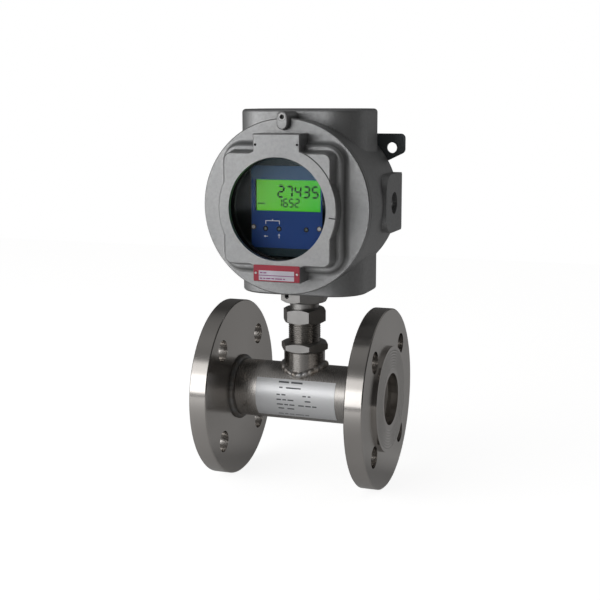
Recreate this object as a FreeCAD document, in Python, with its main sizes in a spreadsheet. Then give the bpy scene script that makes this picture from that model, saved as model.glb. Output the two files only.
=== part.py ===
"""Flanged turbine flow meter with a field indicator head, built as separate parts in one document.

Row frame: origin at the centre of the inlet sealing face, +X along the flow, +Z up towards the head,
the indicator window looks along -Y. Millimetres.
"""
import FreeCAD, Part
import Sketcher
import math
import os
import re

doc = FreeCAD.newDocument("TurbineFlowMeter")

# ---------------------------------------------------------------------------------------------
# Driving dimensions
# ---------------------------------------------------------------------------------------------

SIZES = {
    # pipe run
    "face_to_face": 152,
    "tube_od": 48.3,
    "tube_recess": 6,
    "end_wall": 2.6,
    "run_wall": 4.15,
    "shoulder_depth": 45,
    "flange_od": 150,
    "flange_rim": 15,
    "raised_face_od": 88,
    "raised_face_height": 3,
    "flange_edge": 0.8,
    "bolt_circle": 110,
    "bolt_hole": 18,
    "bolt_count": 4,
    "weld_leg": 3.5,
    "weld_crown": 0.55,
    "bead_leg": 2.4,
    "bead_rise": 0.75,
    "weld_fit": 0.1,
    # flow supports, retaining rings and rotor
    "ring_setback": 3,
    "ring_thickness": 1.5,
    "ring_bite": 1,
    "ring_lip": 2.6,
    "ring_gap": 9,
    "support_wall": 1.7,
    "support_fit": 0.05,
    "vane_count": 4,
    "vane_thickness": 1.4,
    "vane_root": 1,
    "vane_setback": 9,
    "vane_end_gap": 6,
    "hub_diameter": 14,
    "nose_radius": 6.4,
    "rotor_length": 14,
    "rotor_end_gap": 0.9,
    "blade_count": 6,
    "blade_length": 11,
    "blade_thickness": 1.2,
    "blade_start": 10,
    "blade_twist": 36,
    "blade_root": 0.6,
    "blade_tip_gap": 0.5,
    "shaft_diameter": 3,
    "shaft_seat": 9,
    "shaft_fit": 0.02,
    "bearing_fit": 0.04,
    "bush_wall": 1.2,
    "washer_thickness": 0.6,
    "washer_step": 2,
    # stem between the pipe and the head
    "collar_od": 34.5,
    "collar_rise": 12.45,
    "collar_socket": 8.4,
    "collar_edge": 0.8,
    "coil_diameter": 16,
    "coil_floor_depth": 1.95,
    "coil_top_drop": 24.6,
    "coil_head": 6,
    "coil_step": 2,
    "coil_fit": 0.15,
    "sleeve_od": 27,
    "sleeve_bore": 19,
    "sleeve_top_drop": 20.6,
    "thread_fit": 0.1,
    "lock_nut_flats": 36,
    "lock_nut_height": 7.6,
    "union_nut_flats": 32.6,
    "union_nut_drop": 26.1,
    "union_nut_height": 12.2,
    "nut_chamfer": 30,
    "nut_land": 0.97,
    "cut_margin": 1,
    "swivel_gap": 0.3,
    "swivel_disc": 2.6,
    "neck_diameter": 24.4,
    "adaptor_flats": 36,
    "adaptor_height": 8.6,
    "adaptor_turn": 38.7,
    "adaptor_bore": 15,
    "spigot_length": 11,
    "grub_diameter": 4.6,
    "grub_drop": 2.6,
    "grub_side": 4,
    "grub_inset": 0.6,
    "grub_socket": 2.5,
    # head casting: a level drum on an upright tower
    "drum_floor": 4,
    "tower_height": 150.4,
    "tower_half_width": 53.5,
    "tower_half_depth": 40,
    "tower_corner": 28.5,
    "tower_back": 14.2,
    "tower_top_edge": 3,
    "tower_bottom_edge": 2,
    "drum_height": 160.4,
    "drum_radius": 69.8,
    "drum_taper": 2.8,
    "drum_back": 50,
    "drum_back_edge": 3,
    "casting_wall": 7,
    "drum_back_wall": 6,
    "mouth_radius": 61,
    "mouth_depth": 16,
    "rim_front": 45.6,
    "rim_thickness": 4.5,
    "rim_gap": 0.6,
    "entry_reach": 71,
    "entry_back": 20.8,
    "entry_half_depth": 23.8,
    "entry_half_height": 24,
    "entry_front_corner": 15,
    "entry_back_corner": 2.5,
    "entry_hole": 18,
    # screwed cover with its raised window frame
    "cover_spigot": 59.6,
    "cover_cavity": 52,
    "cover_bore": 46.2,
    "cover_front": 64.7,
    "cover_face_wall": 4.6,
    "cover_end_gap": 1,
    "rim_edge": 0.8,
    "window_radius": 40.3,
    "hub_radius": 49,
    "tier_half_width": 50.5,
    "tier_half_height": 50,
    "tier_corner": 15,
    "tier_step": 7.5,
    "tier_root": 3.5,
    "tier_edge": 3,
    "block_half_width": 44,
    "block_half_height": 43.6,
    "block_corner": 6,
    "block_draft": 6,
    "block_root": 1.8,
    "block_edge": 0.8,
    "tab_half_width": 19.4,
    "tab_top": 58.2,
    "tab_bottom": 57,
    "tab_rivet_side": 17.2,
    "tab_hole_height": 49.8,
    "tab_hole": 2,
    "tab_hole_depth": 4,
    "tag_width": 38.3,
    "tag_height": 12.8,
    "tag_centre": 50,
    "tag_thickness": 0.8,
    "tag_corner": 0.8,
    "rivet_head": 2.2,
    "rivet_rise": 0.5,
    "rivet_edge": 0.3,
    "rivet_depth": 3.5,
    "glass_radius": 46,
    "glass_thickness": 8,
    "glass_seal": 0.8,
    "glass_seal_step": 0.7,
    "glass_ring_thickness": 4,
    "glass_ring_bore": 41,
    "seal_width": 2.6,
    "seal_groove": 1.3,
    "seal_gap": 0.3,
    # cover lock
    "clamp_pivot": 70.8,
    "clamp_width": 9,
    "clamp_reach": 9.9,
    "clamp_tail": 4.4,
    "clamp_thickness": 6,
    "clamp_edge": 0.8,
    "clamp_gap": 0.3,
    "clamp_boss": 8.4,
    "clamp_notch_gap": 0.5,
    "least_flat": 0.02,
    "clamp_screw": 4,
    "clamp_screw_head": 6,
    "clamp_screw_fit": 0.05,
    "clamp_screw_seat": 3,
    "clamp_screw_depth": 10,
    "clamp_hex": 2.5,
    "clamp_hex_depth": 1.8,
    # mounting lugs on the back of the drum
    "lug_top": 55.6,
    "lug_reach": 71.5,
    "lug_inner": 41.5,
    "lug_thickness": 3,
    "lug_outer_drop": 15.5,
    "lug_inner_drop": 30,
    "lug_corner": 4,
    "lug_hole": 9,
    "lug_hole_side": 60.3,
    "lug_hole_height": 43.8,
    "lug_screw_side": 46.6,
    "lug_screw_height": 33.5,
    "lug_screw": 4,
    "lug_screw_head": 7,
    "lug_screw_head_height": 2.6,
    "lug_screw_edge": 0.8,
    "lug_screw_depth": 4.5,
    # indicator module behind the glass
    "panel_front": 43,
    "foil_thickness": 0.4,
    "foil_width": 59.6,
    "foil_height": 65.2,
    "foil_centre": -0.2,
    "foil_shift": 0.3,
    "foil_corner": 0.6,
    "module_half_width": 30.6,
    "module_half_height": 40,
    "module_corner": 9,
    "module_depth": 16,
    "module_edge": 0.8,
    "lcd_width": 55,
    "lcd_height": 24.8,
    "lcd_centre": 9.1,
    "lcd_shift": 1.2,
    "lcd_recess": 1,
    "lcd_depth": 3,
    "lcd_corner": 0.5,
    "lcd_fit": 0.1,
    "board_thickness": 1.6,
    "board_margin": 1.5,
    "pillar_diameter": 6,
    "pillar_side": 24,
    "pillar_height": 30,
    "button_height": -17.5,
    "button_first": -17.6,
    "button_second": -6.1,
    "button_third": 16.8,
    "button_diameter": 3.6,
    "button_fit": 0.3,
    "button_stand": 0.4,
    "button_edge": 0.5,
    "button_depth": 6,
    "button_travel": 1,
    "panel_screw_side": 27.8,
    "panel_screw_height": -16.4,
    "panel_screw_head": 4.4,
    "panel_screw_stand": 0.6,
    "panel_screw_length": 8,
    "panel_slot_width": 0.7,
    "panel_slot_depth": 0.4,
    "panel_slot_length": 3.2,
    # sticker on the tube
    "label_left": -35.3,
    "label_right": 34.3,
    "label_low_angle": -47,
    "label_high_angle": 36.5,
    "label_thickness": 0.25,
    "label_fit": 0.05,
}

sheet = doc.addObject("Spreadsheet::Sheet", "Sizes")
for row, (alias, number) in enumerate(SIZES.items(), start=1):
    sheet.set(f"A{row}", str(number))
    sheet.setAlias(f"A{row}", alias)
doc.recompute()

# ---------------------------------------------------------------------------------------------
# Helpers: expressions, sketches and features
# ---------------------------------------------------------------------------------------------

ORIGIN = -1
FIRST = 1
LAST = 2
CENTRE = 3
MIDDLE = "face_to_face / 2"
HEAD = (MIDDLE, "0", "drum_height")
END_BORE = "(tube_od - 2 * end_wall)"
RUN_BORE = "(tube_od - 2 * run_wall)"
COLLAR_TOP = "(tube_od / 2 + collar_rise)"
COIL_FLOOR = "(tube_od / 2 - coil_floor_depth)"
HEAD_BOTTOM = "(drum_height - drum_radius - drum_floor)"
ADAPTOR_BOTTOM = f"({HEAD_BOTTOM} - adaptor_height)"
SLEEVE_TOP = f"({HEAD_BOTTOM} - sleeve_top_drop)"
COIL_TOP = f"({HEAD_BOTTOM} - coil_top_drop)"
UNION_NUT_BOTTOM = f"({HEAD_BOTTOM} - union_nut_drop)"


def named(expression):
    """The expression with each alias written as a reference to the sheet."""
    return re.sub(r"[a-z_]{3,}", lambda m: f"Sizes.{m[0]}" if m[0] in SIZES else m[0], expression)


def value(expression):
    """The expression's present number."""
    return float(sheet.evalExpression(expression))


def bind(thing, settings):
    """Ties properties of a document object to expressions."""
    for path, expression in settings.items():
        thing.setExpression(path, named(expression))


def new_body(label, at=("0", "0", "0")):
    """An empty PartDesign body at a place given by three expressions."""
    body = doc.addObject("PartDesign::Body", label)
    body.Label = label
    bind(body, {f"Placement.Base.{axis}": where for axis, where in zip("xyz", at)})
    return body


def origin_feature(body, role):
    """One of the body's own base planes or axes."""
    return next(item for item in body.Origin.OriginFeatures if item.Role == role)


def new_sketch(body, plane, offset="0", turn=None):
    """An empty sketch on one of the body's base planes, moved along its normal, turned in its plane."""
    sketch = body.newObject("Sketcher::SketchObject", "Sketch")
    sketch.AttachmentSupport = [(origin_feature(body, plane), "")]
    sketch.MapMode = "FlatFace"
    if turn:
        spin = FreeCAD.Rotation(FreeCAD.Vector(0, 0, 1), value(turn))
        sketch.AttachmentOffset = FreeCAD.Placement(FreeCAD.Vector(), spin)
        bind(sketch, {"AttachmentOffset.Rotation.Angle": turn})
    bind(sketch, {"AttachmentOffset.Base.z": offset})
    return sketch


def hold(sketch, geometry, vertex, across, up):
    """Dimensions a sketch point from the sketch's origin."""
    for kind, expression in (("DistanceX", across), ("DistanceY", up)):
        constraint = Sketcher.Constraint(kind, ORIGIN, FIRST, geometry, vertex, value(expression))
        index = sketch.addConstraint(constraint)
        bind(sketch, {f"Constraints[{index}]": expression})


def polygon(sketch, corners):
    """A closed outline of straight lines through corners given as pairs of expressions."""
    points = [FreeCAD.Vector(value(across), value(up), 0) for across, up in corners]
    first = sketch.GeometryCount
    count = len(points)
    for index, point in enumerate(points):
        sketch.addGeometry(Part.LineSegment(point, points[(index + 1) % count]), False)
    for index, (across, up) in enumerate(corners):
        following = first + (index + 1) % count
        sketch.addConstraint(Sketcher.Constraint("Coincident", first + index, LAST, following, FIRST))
        hold(sketch, first + index, FIRST, across, up)
    return sketch


def circle(sketch, radius, across="0", up="0"):
    """A dimensioned circle."""
    centre = FreeCAD.Vector(value(across), value(up), 0)
    normal = FreeCAD.Vector(0, 0, 1)
    index = sketch.addGeometry(Part.Circle(centre, normal, value(radius)), False)
    hold(sketch, index, CENTRE, across, up)
    size = sketch.addConstraint(Sketcher.Constraint("Radius", index, value(radius)))
    bind(sketch, {f"Constraints[{size}]": radius})
    return sketch


def rounded_box(sketch, half_width, half_height, corners, across="0", up="0"):
    """A rectangle with an arc at each corner: the radii go anticlockwise from the upper right."""
    middle_x, middle_y = value(across), value(up)
    width, height = value(half_width), value(half_height)
    radii = [value(radius) for radius in corners]
    signs = ((1, 1), (-1, 1), (-1, -1), (1, -1))
    centres = []
    arcs = []
    for quarter, ((right, top), radius) in enumerate(zip(signs, radii)):
        centre = FreeCAD.Vector(middle_x + right * (width - radius), middle_y + top * (height - radius), 0)
        centres.append(centre)
        start = quarter * math.pi / 2
        base = Part.Circle(centre, FreeCAD.Vector(0, 0, 1), radius)
        arcs.append(sketch.addGeometry(Part.ArcOfCircle(base, start, start + math.pi / 2), False))
    for quarter in range(4):
        here, there = arcs[quarter], arcs[(quarter + 1) % 4]
        start = sketch.getPoint(here, LAST)
        end = sketch.getPoint(there, FIRST)
        line = sketch.addGeometry(Part.LineSegment(start, end), False)
        sketch.addConstraint(Sketcher.Constraint("Tangent", here, LAST, line, FIRST))
        sketch.addConstraint(Sketcher.Constraint("Tangent", line, LAST, there, FIRST))
    for arc, (right, top), radius in zip(arcs, signs, corners):
        hold(
            sketch,
            arc,
            CENTRE,
            f"({across}) + ({right}) * (({half_width}) - ({radius}))",
            f"({up}) + ({top}) * (({half_height}) - ({radius}))",
        )
        index = sketch.addConstraint(Sketcher.Constraint("Radius", arc, value(radius)))
        bind(sketch, {f"Constraints[{index}]": radius})
    return sketch


def feature(body, kind, sketch, settings=None, **options):
    """A PartDesign feature from a sketch, with expressions for its sizes."""
    item = body.newObject(f"PartDesign::{kind}", kind)
    item.Profile = sketch
    for option, choice in options.items():
        setattr(item, option, choice)
    bind(item, settings or {})
    sketch.Visibility = False
    return item


def turned(body, corners, axis="H_Axis", plane="XY_Plane", cut=False):
    """A profile turned a full circle about one of its sketch's axes."""
    sketch = polygon(new_sketch(body, plane), corners)
    kind = "Groove" if cut else "Revolution"
    return feature(body, kind, sketch, ReferenceAxis=(sketch, [axis]), Angle=360)


def pad(body, sketch, length, **options):
    """Material from the sketch along its normal."""
    return feature(body, "Pad", sketch, {"Length": length}, **options)


def pocket(body, sketch, length, **options):
    """A recess from the sketch against its normal."""
    return feature(body, "Pocket", sketch, {"Length": length}, **options)


def around(body, original, axis, count):
    """Copies of a feature spread over a full turn about a base axis."""
    doc.recompute()
    pattern = body.newObject("PartDesign::PolarPattern", "PolarPattern")
    pattern.Originals = [original]
    pattern.Axis = (origin_feature(body, axis), [""])
    pattern.Angle = 360
    bind(pattern, {"Occurrences": count})
    body.Tip = pattern
    return pattern


def edge_names(shape, wanted):
    """Names of the edges that a test picks."""
    return [f"Edge{index}" for index, edge in enumerate(shape.Edges, start=1) if wanted(edge)]


def soften(body, kind, size_name, wanted):
    """A fillet or chamfer on the tip's edges that a test picks."""
    doc.recompute()
    base = body.Tip
    item = body.newObject(f"PartDesign::{kind}", kind)
    item.Base = (base, edge_names(base.Shape, wanted))
    bind(item, {"Radius" if kind == "Fillet" else "Size": size_name})
    return item


def circles_at(radius, axis, level):
    """A test for full circles of one radius about a base axis at one level along it."""
    size, place = value(radius), value(level)

    def test(edge):
        curve = edge.Curve
        if not isinstance(curve, Part.Circle) or abs(curve.Radius - size) > 0.01:
            return False
        along = getattr(curve.Center, axis)
        return abs(along - place) < 0.01

    return test


def level_edges(axis, level):
    """A test for edges that lie whole at one level along a base axis."""
    place = value(level)

    def test(edge):
        box = edge.BoundBox
        low, high = getattr(box, f"{axis.upper()}Min"), getattr(box, f"{axis.upper()}Max")
        return abs(low - place) < 0.01 and abs(high - place) < 0.01

    return test


def root_edges(level, half_width):
    """A test for the edges round a pad's foot: at one level along Y and no wider than the pad."""
    at_level = level_edges("y", level)
    reach = value(half_width) + 0.01

    def test(edge):
        box = edge.BoundBox
        return at_level(edge) and max(abs(box.XMin), abs(box.XMax)) < reach

    return test


def hexagon(sketch, flats):
    """A hexagon with two flats square to the sketch's vertical axis."""
    corners = []
    for step in range(6):
        turn = f"{60 * step}"
        corners.append((f"{flats} / sqrt(3) * cos({turn})", f"{flats} / sqrt(3) * sin({turn})"))
    return polygon(sketch, corners)


def hex_nut(label, flats, bottom, height, bore, turn=None, top_chamfer=True):
    """A hexagon nut on the stem, chamfered at its corners, with a round bore."""
    body = new_body(label, (MIDDLE, "0", bottom))
    pad(body, hexagon(new_sketch(body, "XY_Plane", turn=turn), flats), height)
    corner = f"{flats} / sqrt(3) + cut_margin"
    start = f"{flats} / 2 * nut_land"
    rise = f"(({corner}) - ({start})) * tan(nut_chamfer)"
    turned(body, [(start, "0"), (corner, "0"), (corner, rise)], "V_Axis", "XZ_Plane", cut=True)
    if top_chamfer:
        top = [(start, height), (corner, height), (corner, f"{height} - {rise}")]
        turned(body, top, "V_Axis", "XZ_Plane", cut=True)
    pocket(body, circle(new_sketch(body, "XY_Plane"), bore), height, Reversed=True)
    return body


# ---------------------------------------------------------------------------------------------
# Pipe run: tube, flanges and their welds
# ---------------------------------------------------------------------------------------------

TUBE_END = "tube_recess"
RING_SEAT = "tube_recess + ring_setback"
RING_END = "tube_recess + ring_setback + ring_thickness"


def meter_tube():
    """The machined measuring tube: stepped bore, a groove for each retaining ring, a flat for the coil."""
    body = new_body("meter_tube")
    outer, end, run = "tube_od / 2", f"{END_BORE} / 2", f"{RUN_BORE} / 2"
    groove = f"{end} + ring_bite"
    half = [
        (TUBE_END, outer),
        (TUBE_END, end),
        (RING_SEAT, end),
        (RING_SEAT, groove),
        (RING_END, groove),
        (RING_END, end),
        ("shoulder_depth", end),
        ("shoulder_depth", run),
    ]
    mirrored = [(f"face_to_face - ({along})", radius) for along, radius in reversed(half)]
    turned(body, half + mirrored)
    flat = circle(new_sketch(body, "XY_Plane", "tube_od / 2"), "coil_diameter / 2 + coil_fit", MIDDLE)
    pocket(body, flat, "coil_floor_depth")
    return body


def flange(label, at_outlet):
    """A round plate flange: rim, raised sealing face, bore for the tube and four bolt holes."""
    body = new_body(label)

    def along(depth):
        return f"face_to_face - ({depth})" if at_outlet else depth

    bore = "tube_od / 2 + weld_fit"
    inner = f"{END_BORE} / 2"
    rim_start = "raised_face_height"
    rim_end = "raised_face_height + flange_rim"
    outer = "flange_od / 2"
    profile = [
        (along("0"), inner),
        (along("0"), "raised_face_od / 2"),
        (along(rim_start), "raised_face_od / 2"),
        (along(rim_start), f"{outer} - flange_edge"),
        (along(f"{rim_start} + flange_edge"), outer),
        (along(f"{rim_end} - flange_edge"), outer),
        (along(rim_end), f"{outer} - flange_edge"),
        (along(rim_end), bore),
        (along("tube_recess"), bore),
        (along("tube_recess"), inner),
    ]
    turned(body, profile)
    angle = "180 / bolt_count"
    hole = circle(
        new_sketch(body, "YZ_Plane", along(rim_start)),
        "bolt_hole / 2",
        f"bolt_circle / 2 * cos({angle})",
        f"bolt_circle / 2 * sin({angle})",
    )
    drilled = pocket(body, hole, "flange_rim", Reversed=not at_outlet)
    around(body, drilled, "X_Axis", "bolt_count")
    return body


def ring_solid(profile, start=90, span=360):
    """A solid turned about the tube's axis from (along, radius) numbers, in degrees from -Y towards +Z."""
    turn = math.radians(start)
    points = [
        FreeCAD.Vector(along, -radius * math.cos(turn), radius * math.sin(turn)) for along, radius in profile
    ]
    face = Part.Face(Part.makePolygon(points + points[:1]))
    return face.revolve(FreeCAD.Vector(), FreeCAD.Vector(-1, 0, 0), span)


def solid_feature(label, shape):
    """A part whose shape is built with Part's own functions from the sheet's sizes."""
    item = doc.addObject("Part::Feature", label)
    item.Label = label
    item.Shape = shape
    return item


def flange_welds():
    """The fillet weld behind each flange."""
    leg = value("weld_leg")
    fit = value("weld_fit")
    face = value("raised_face_height + flange_rim")
    radius = value("tube_od / 2")
    length = value("face_to_face")
    bulge = leg * value("weld_crown")
    toe = (face + leg, radius)
    crown = (face + bulge, radius + bulge)
    left = [(face, radius), toe, crown, (face, radius + leg + fit)]
    right = [(length - along, out) for along, out in left]
    return solid_feature("flange_welds", Part.Compound([ring_solid(left), ring_solid(right)]))


# ---------------------------------------------------------------------------------------------
# Inside the tube: supports, rings, shaft and rotor
# ---------------------------------------------------------------------------------------------

HUB_END = "face_to_face / 2 - rotor_length / 2 - rotor_end_gap"


def flow_support(label, at_outlet):
    """A flow straightener: outer ring, straight vanes and a nosed hub that carries the shaft."""
    body = new_body(label)

    def along(depth):
        return f"face_to_face - ({depth})" if at_outlet else depth

    hub = "hub_diameter / 2"
    nose = "tube_recess + vane_setback - nose_radius"
    turned(body, [(along(nose), "0"), (along(nose), hub), (along(HUB_END), hub), (along(HUB_END), "0")])
    soften(body, "Fillet", "nose_radius", circles_at(hub, "x", along(nose)))
    wall = f"{END_BORE} / 2 - support_fit"
    inner = f"{END_BORE} / 2 - support_wall"
    ring = [
        (along(RING_END), inner),
        (along(RING_END), wall),
        (along("shoulder_depth"), wall),
        (along("shoulder_depth"), inner),
    ]
    start = "tube_recess + vane_setback"
    end = f"{HUB_END} - vane_end_gap"
    reach = f"{RUN_BORE} / 2 - support_fit"
    vane = polygon(
        new_sketch(body, "XY_Plane"),
        [
            (along(start), f"{hub} - vane_root"),
            (along(start), reach),
            (along(end), reach),
            (along(end), f"{hub} - vane_root"),
        ],
    )
    plate = pad(body, vane, "vane_thickness", SideType="Symmetric")
    around(body, plate, "X_Axis", "vane_count")
    turned(body, ring)
    seat = circle(new_sketch(body, "YZ_Plane", along(HUB_END)), "shaft_diameter / 2 + shaft_fit")
    pocket(body, seat, "shaft_seat", Reversed=at_outlet)
    return body


def retaining_rings():
    """An open spring ring in each groove, its gap at the bottom."""
    outer = value(f"{END_BORE} / 2 + ring_bite - support_fit")
    inner = outer - value("ring_lip")
    thickness = value("ring_thickness - 2 * support_fit")
    start = value(RING_SEAT) + value("support_fit")
    gap = value("ring_gap")
    along = FreeCAD.Vector(1, 0, 0)
    rings = []
    for edge in (start, value("face_to_face") - start - thickness):
        at = FreeCAD.Vector(edge, 0, 0)
        bore = Part.makeCylinder(inner, thickness, at, along)
        ring = Part.makeCylinder(outer, thickness, at, along).cut(bore)
        mouth = Part.makeBox(thickness, gap, outer, FreeCAD.Vector(edge, -gap / 2, -outer))
        rings.append(ring.cut(mouth))
    return solid_feature("retaining_rings", Part.Compound(rings))


def rotor_shaft():
    """The fixed shaft between the two supports."""
    body = new_body("rotor_shaft")
    start = f"{HUB_END} - shaft_seat"
    end = f"face_to_face - ({start})"
    radius = "shaft_diameter / 2"
    turned(body, [(start, "0"), (start, radius), (end, radius), (end, "0")])
    return body


def thrust_washers():
    """A thin washer against each support hub."""
    radius = value("hub_diameter / 2 - washer_step")
    hole = value("shaft_diameter / 2")
    thickness = value("washer_thickness")
    start = value(HUB_END)
    along = FreeCAD.Vector(1, 0, 0)
    washers = []
    for edge in (start, value("face_to_face") - start - thickness):
        at = FreeCAD.Vector(edge, 0, 0)
        disc = Part.makeCylinder(radius, thickness, at, along)
        washers.append(disc.cut(Part.makeCylinder(hole, thickness, at, along)))
    return solid_feature("thrust_washers", Part.Compound(washers))


def rotor():
    """Hub with helical blades: one twisted blade lofted through turned sections, then copied round."""
    body = new_body("rotor")
    hub = "hub_diameter / 2"
    start = f"{MIDDLE} - rotor_length / 2"
    end = f"{MIDDLE} + rotor_length / 2"
    bore = "shaft_diameter / 2 + bearing_fit + bush_wall"
    turned(body, [(start, bore), (start, hub), (end, hub), (end, bore)])
    sections = []
    steps = 4
    for step in range(steps + 1):
        share = step / steps
        place = f"{MIDDLE} - blade_length / 2 + blade_length * {share}"
        section = new_sketch(body, "YZ_Plane", place, turn=f"blade_start + blade_twist * {share}")
        half = "blade_thickness / 2"
        tip = f"{RUN_BORE} / 2 - blade_tip_gap"
        root = f"{hub} - blade_root"
        polygon(section, [(f"-{half}", root), (half, root), (half, tip), (f"-{half}", tip)])
        sections.append(section)
    doc.recompute()
    blade = body.newObject("PartDesign::AdditiveLoft", "Blade")
    blade.Profile = sections[0]
    blade.Sections = sections[1:]
    blade.Ruled = False
    around(body, blade, "X_Axis", "blade_count")
    return body


def rotor_bush():
    """The bearing bush pressed in the rotor, running on the shaft."""
    body = new_body("rotor_bush")
    inner = "shaft_diameter / 2 + bearing_fit"
    outer = f"{inner} + bush_wall"
    start = f"{MIDDLE} - rotor_length / 2"
    end = f"{MIDDLE} + rotor_length / 2"
    turned(body, [(start, inner), (start, outer), (end, outer), (end, inner)])
    return body


# ---------------------------------------------------------------------------------------------
# Stem: collar, sleeve, nuts, coil and adaptor
# ---------------------------------------------------------------------------------------------


def sensor_collar():
    """The boss that stands on the tube, saddled to it, bored for the coil and threaded for the sleeve."""
    body = new_body("sensor_collar", (MIDDLE, "0", "0"))
    pad(body, circle(new_sketch(body, "XY_Plane"), "collar_od / 2"), COLLAR_TOP)
    saddle = circle(new_sketch(body, "YZ_Plane"), "tube_od / 2")
    pocket(body, saddle, "collar_od + 2 * cut_margin", SideType="Symmetric")
    coil = circle(new_sketch(body, "XY_Plane", COLLAR_TOP), "coil_diameter / 2 + coil_fit")
    pocket(body, coil, COLLAR_TOP)
    socket = circle(new_sketch(body, "XY_Plane", COLLAR_TOP), "sleeve_od / 2 + thread_fit")
    pocket(body, socket, "collar_socket")
    soften(body, "Chamfer", "collar_edge", circles_at("collar_od / 2", "z", COLLAR_TOP))
    return body


def collar_weld():
    """The weld bead that follows the saddle between collar and tube."""
    tube = value("tube_od / 2")
    collar = value("collar_od / 2")
    leg = value("bead_leg")
    height = value(COLLAR_TOP)
    up = FreeCAD.Vector(0, 0, 1)
    across = FreeCAD.Vector(1, 0, 0)
    ring = Part.makeCylinder(collar + leg, height, FreeCAD.Vector(), up)
    ring = ring.cut(Part.makeCylinder(collar, height, FreeCAD.Vector(), up))
    reach = 2 * (collar + leg)
    start = FreeCAD.Vector(-reach / 2, 0, 0)
    skin = Part.makeCylinder(tube + leg * value("bead_rise"), reach, start, across)
    skin = skin.cut(Part.makeCylinder(tube, reach, start, across))
    item = solid_feature("collar_weld", ring.common(skin))
    bind(item, {"Placement.Base.x": MIDDLE})
    return item


def stem_turning(label, corners):
    """A turned part on the stem's axis."""
    body = new_body(label, (MIDDLE, "0", "0"))
    turned(body, corners, "V_Axis", "XZ_Plane")
    return body


def threaded_sleeve():
    """The threaded tube from the collar up into the union nut."""
    bottom = f"{COLLAR_TOP} - collar_socket"
    inner, outer = "sleeve_bore / 2", "sleeve_od / 2"
    return stem_turning(
        "threaded_sleeve",
        [(inner, bottom), (outer, bottom), (outer, SLEEVE_TOP), (inner, SLEEVE_TOP)],
    )


def pickup_coil():
    """The pick-up: a slim body on the tube's flat, with a head below the swivel."""
    radius = "coil_diameter / 2"
    shoulder = f"{COIL_TOP} - coil_head"
    waist = f"{radius} - coil_step"
    return stem_turning(
        "pickup_coil",
        [
            ("0", COIL_FLOOR),
            (radius, COIL_FLOOR),
            (radius, shoulder),
            (waist, shoulder),
            (waist, COIL_TOP),
            ("0", COIL_TOP),
        ],
    )


def union_nut():
    """The upper nut: it screws on the sleeve and holds the swivel disc under its lip."""
    label = "union_nut"
    bore = "neck_diameter / 2 + swivel_gap"
    body = hex_nut(label, "union_nut_flats", UNION_NUT_BOTTOM, "union_nut_height", bore)
    room = "union_nut_drop - sleeve_top_drop + 2 * swivel_gap + swivel_disc"
    bore = circle(new_sketch(body, "XY_Plane"), "sleeve_od / 2 + thread_fit")
    pocket(body, bore, room, Reversed=True)
    return body


def leaning_sketch(body, out):
    """An upright sketch square to the adaptor's front left flat, at a distance from the stem's axis."""
    sketch = body.newObject("Sketcher::SketchObject", "Sketch")
    sketch.AttachmentSupport = [(origin_feature(body, "XZ_Plane"), "")]
    sketch.MapMode = "FlatFace"
    turn = "adaptor_turn - 60"
    spin = FreeCAD.Rotation(FreeCAD.Vector(0, 1, 0), value(turn))
    sketch.AttachmentOffset = FreeCAD.Placement(FreeCAD.Vector(), spin)
    bind(
        sketch,
        {
            "AttachmentOffset.Rotation.Angle": turn,
            "AttachmentOffset.Base.x": f"({out}) * sin({turn})",
            "AttachmentOffset.Base.z": f"({out}) * cos({turn})",
        },
    )
    return sketch


def swivel_adaptor():
    """The hexagon adaptor: swivel disc, neck, hexagon with a grub screw hole, spigot into the housing."""
    label = "swivel_adaptor"
    body = new_body(label, (MIDDLE, "0", "0"))
    disc_bottom = f"{SLEEVE_TOP} + swivel_gap"
    disc_top = f"{disc_bottom} + swivel_disc"
    disc = "sleeve_od / 2 + thread_fit - swivel_gap"
    neck = "neck_diameter / 2"
    spigot = "sleeve_od / 2"
    top = f"{HEAD_BOTTOM} + spigot_length"
    hexa = hexagon(new_sketch(body, "XY_Plane", ADAPTOR_BOTTOM, turn="adaptor_turn"), "adaptor_flats")
    pad(body, hexa, "adaptor_height")
    corner = "adaptor_flats / sqrt(3) + cut_margin"
    start = "adaptor_flats / 2 * nut_land"
    rise = f"(({corner}) - ({start})) * tan(nut_chamfer)"
    chamfer = [
        (start, ADAPTOR_BOTTOM),
        (corner, ADAPTOR_BOTTOM),
        (corner, f"{ADAPTOR_BOTTOM} + {rise}"),
    ]
    turned(body, chamfer, "V_Axis", "XZ_Plane", cut=True)
    turned(
        body,
        [
            ("0", disc_bottom),
            (disc, disc_bottom),
            (disc, disc_top),
            (neck, disc_top),
            (neck, f"{HEAD_BOTTOM} - cut_margin"),
            (spigot, f"{HEAD_BOTTOM} - cut_margin"),
            (spigot, top),
            ("0", top),
        ],
        "V_Axis",
        "XZ_Plane",
    )
    pocket(body, circle(new_sketch(body, "XY_Plane", top), "adaptor_bore / 2"), top)
    grub = leaning_sketch(body, "adaptor_flats / 2")
    circle(grub, "grub_diameter / 2", "-grub_side", f"{HEAD_BOTTOM} - grub_drop")
    pocket(body, grub, "adaptor_flats / 2 - adaptor_bore / 2 + cut_margin")
    return body


def grub_screw():
    """The set screw in the adaptor's front left flat, with its hexagon socket."""
    body = new_body("grub_screw", (MIDDLE, "0", "0"))
    front = "adaptor_flats / 2 - grub_inset"
    place = ("-grub_side", f"{HEAD_BOTTOM} - grub_drop")
    thread = circle(leaning_sketch(body, front), "grub_diameter / 2 - thread_fit", *place)
    pad(body, thread, f"{front} - adaptor_bore / 2", Reversed=True)
    socket = circle(leaning_sketch(body, front), "grub_socket / 2", *place)
    pocket(body, socket, "grub_socket")
    return body


# ---------------------------------------------------------------------------------------------
# Head casting
# ---------------------------------------------------------------------------------------------

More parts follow.
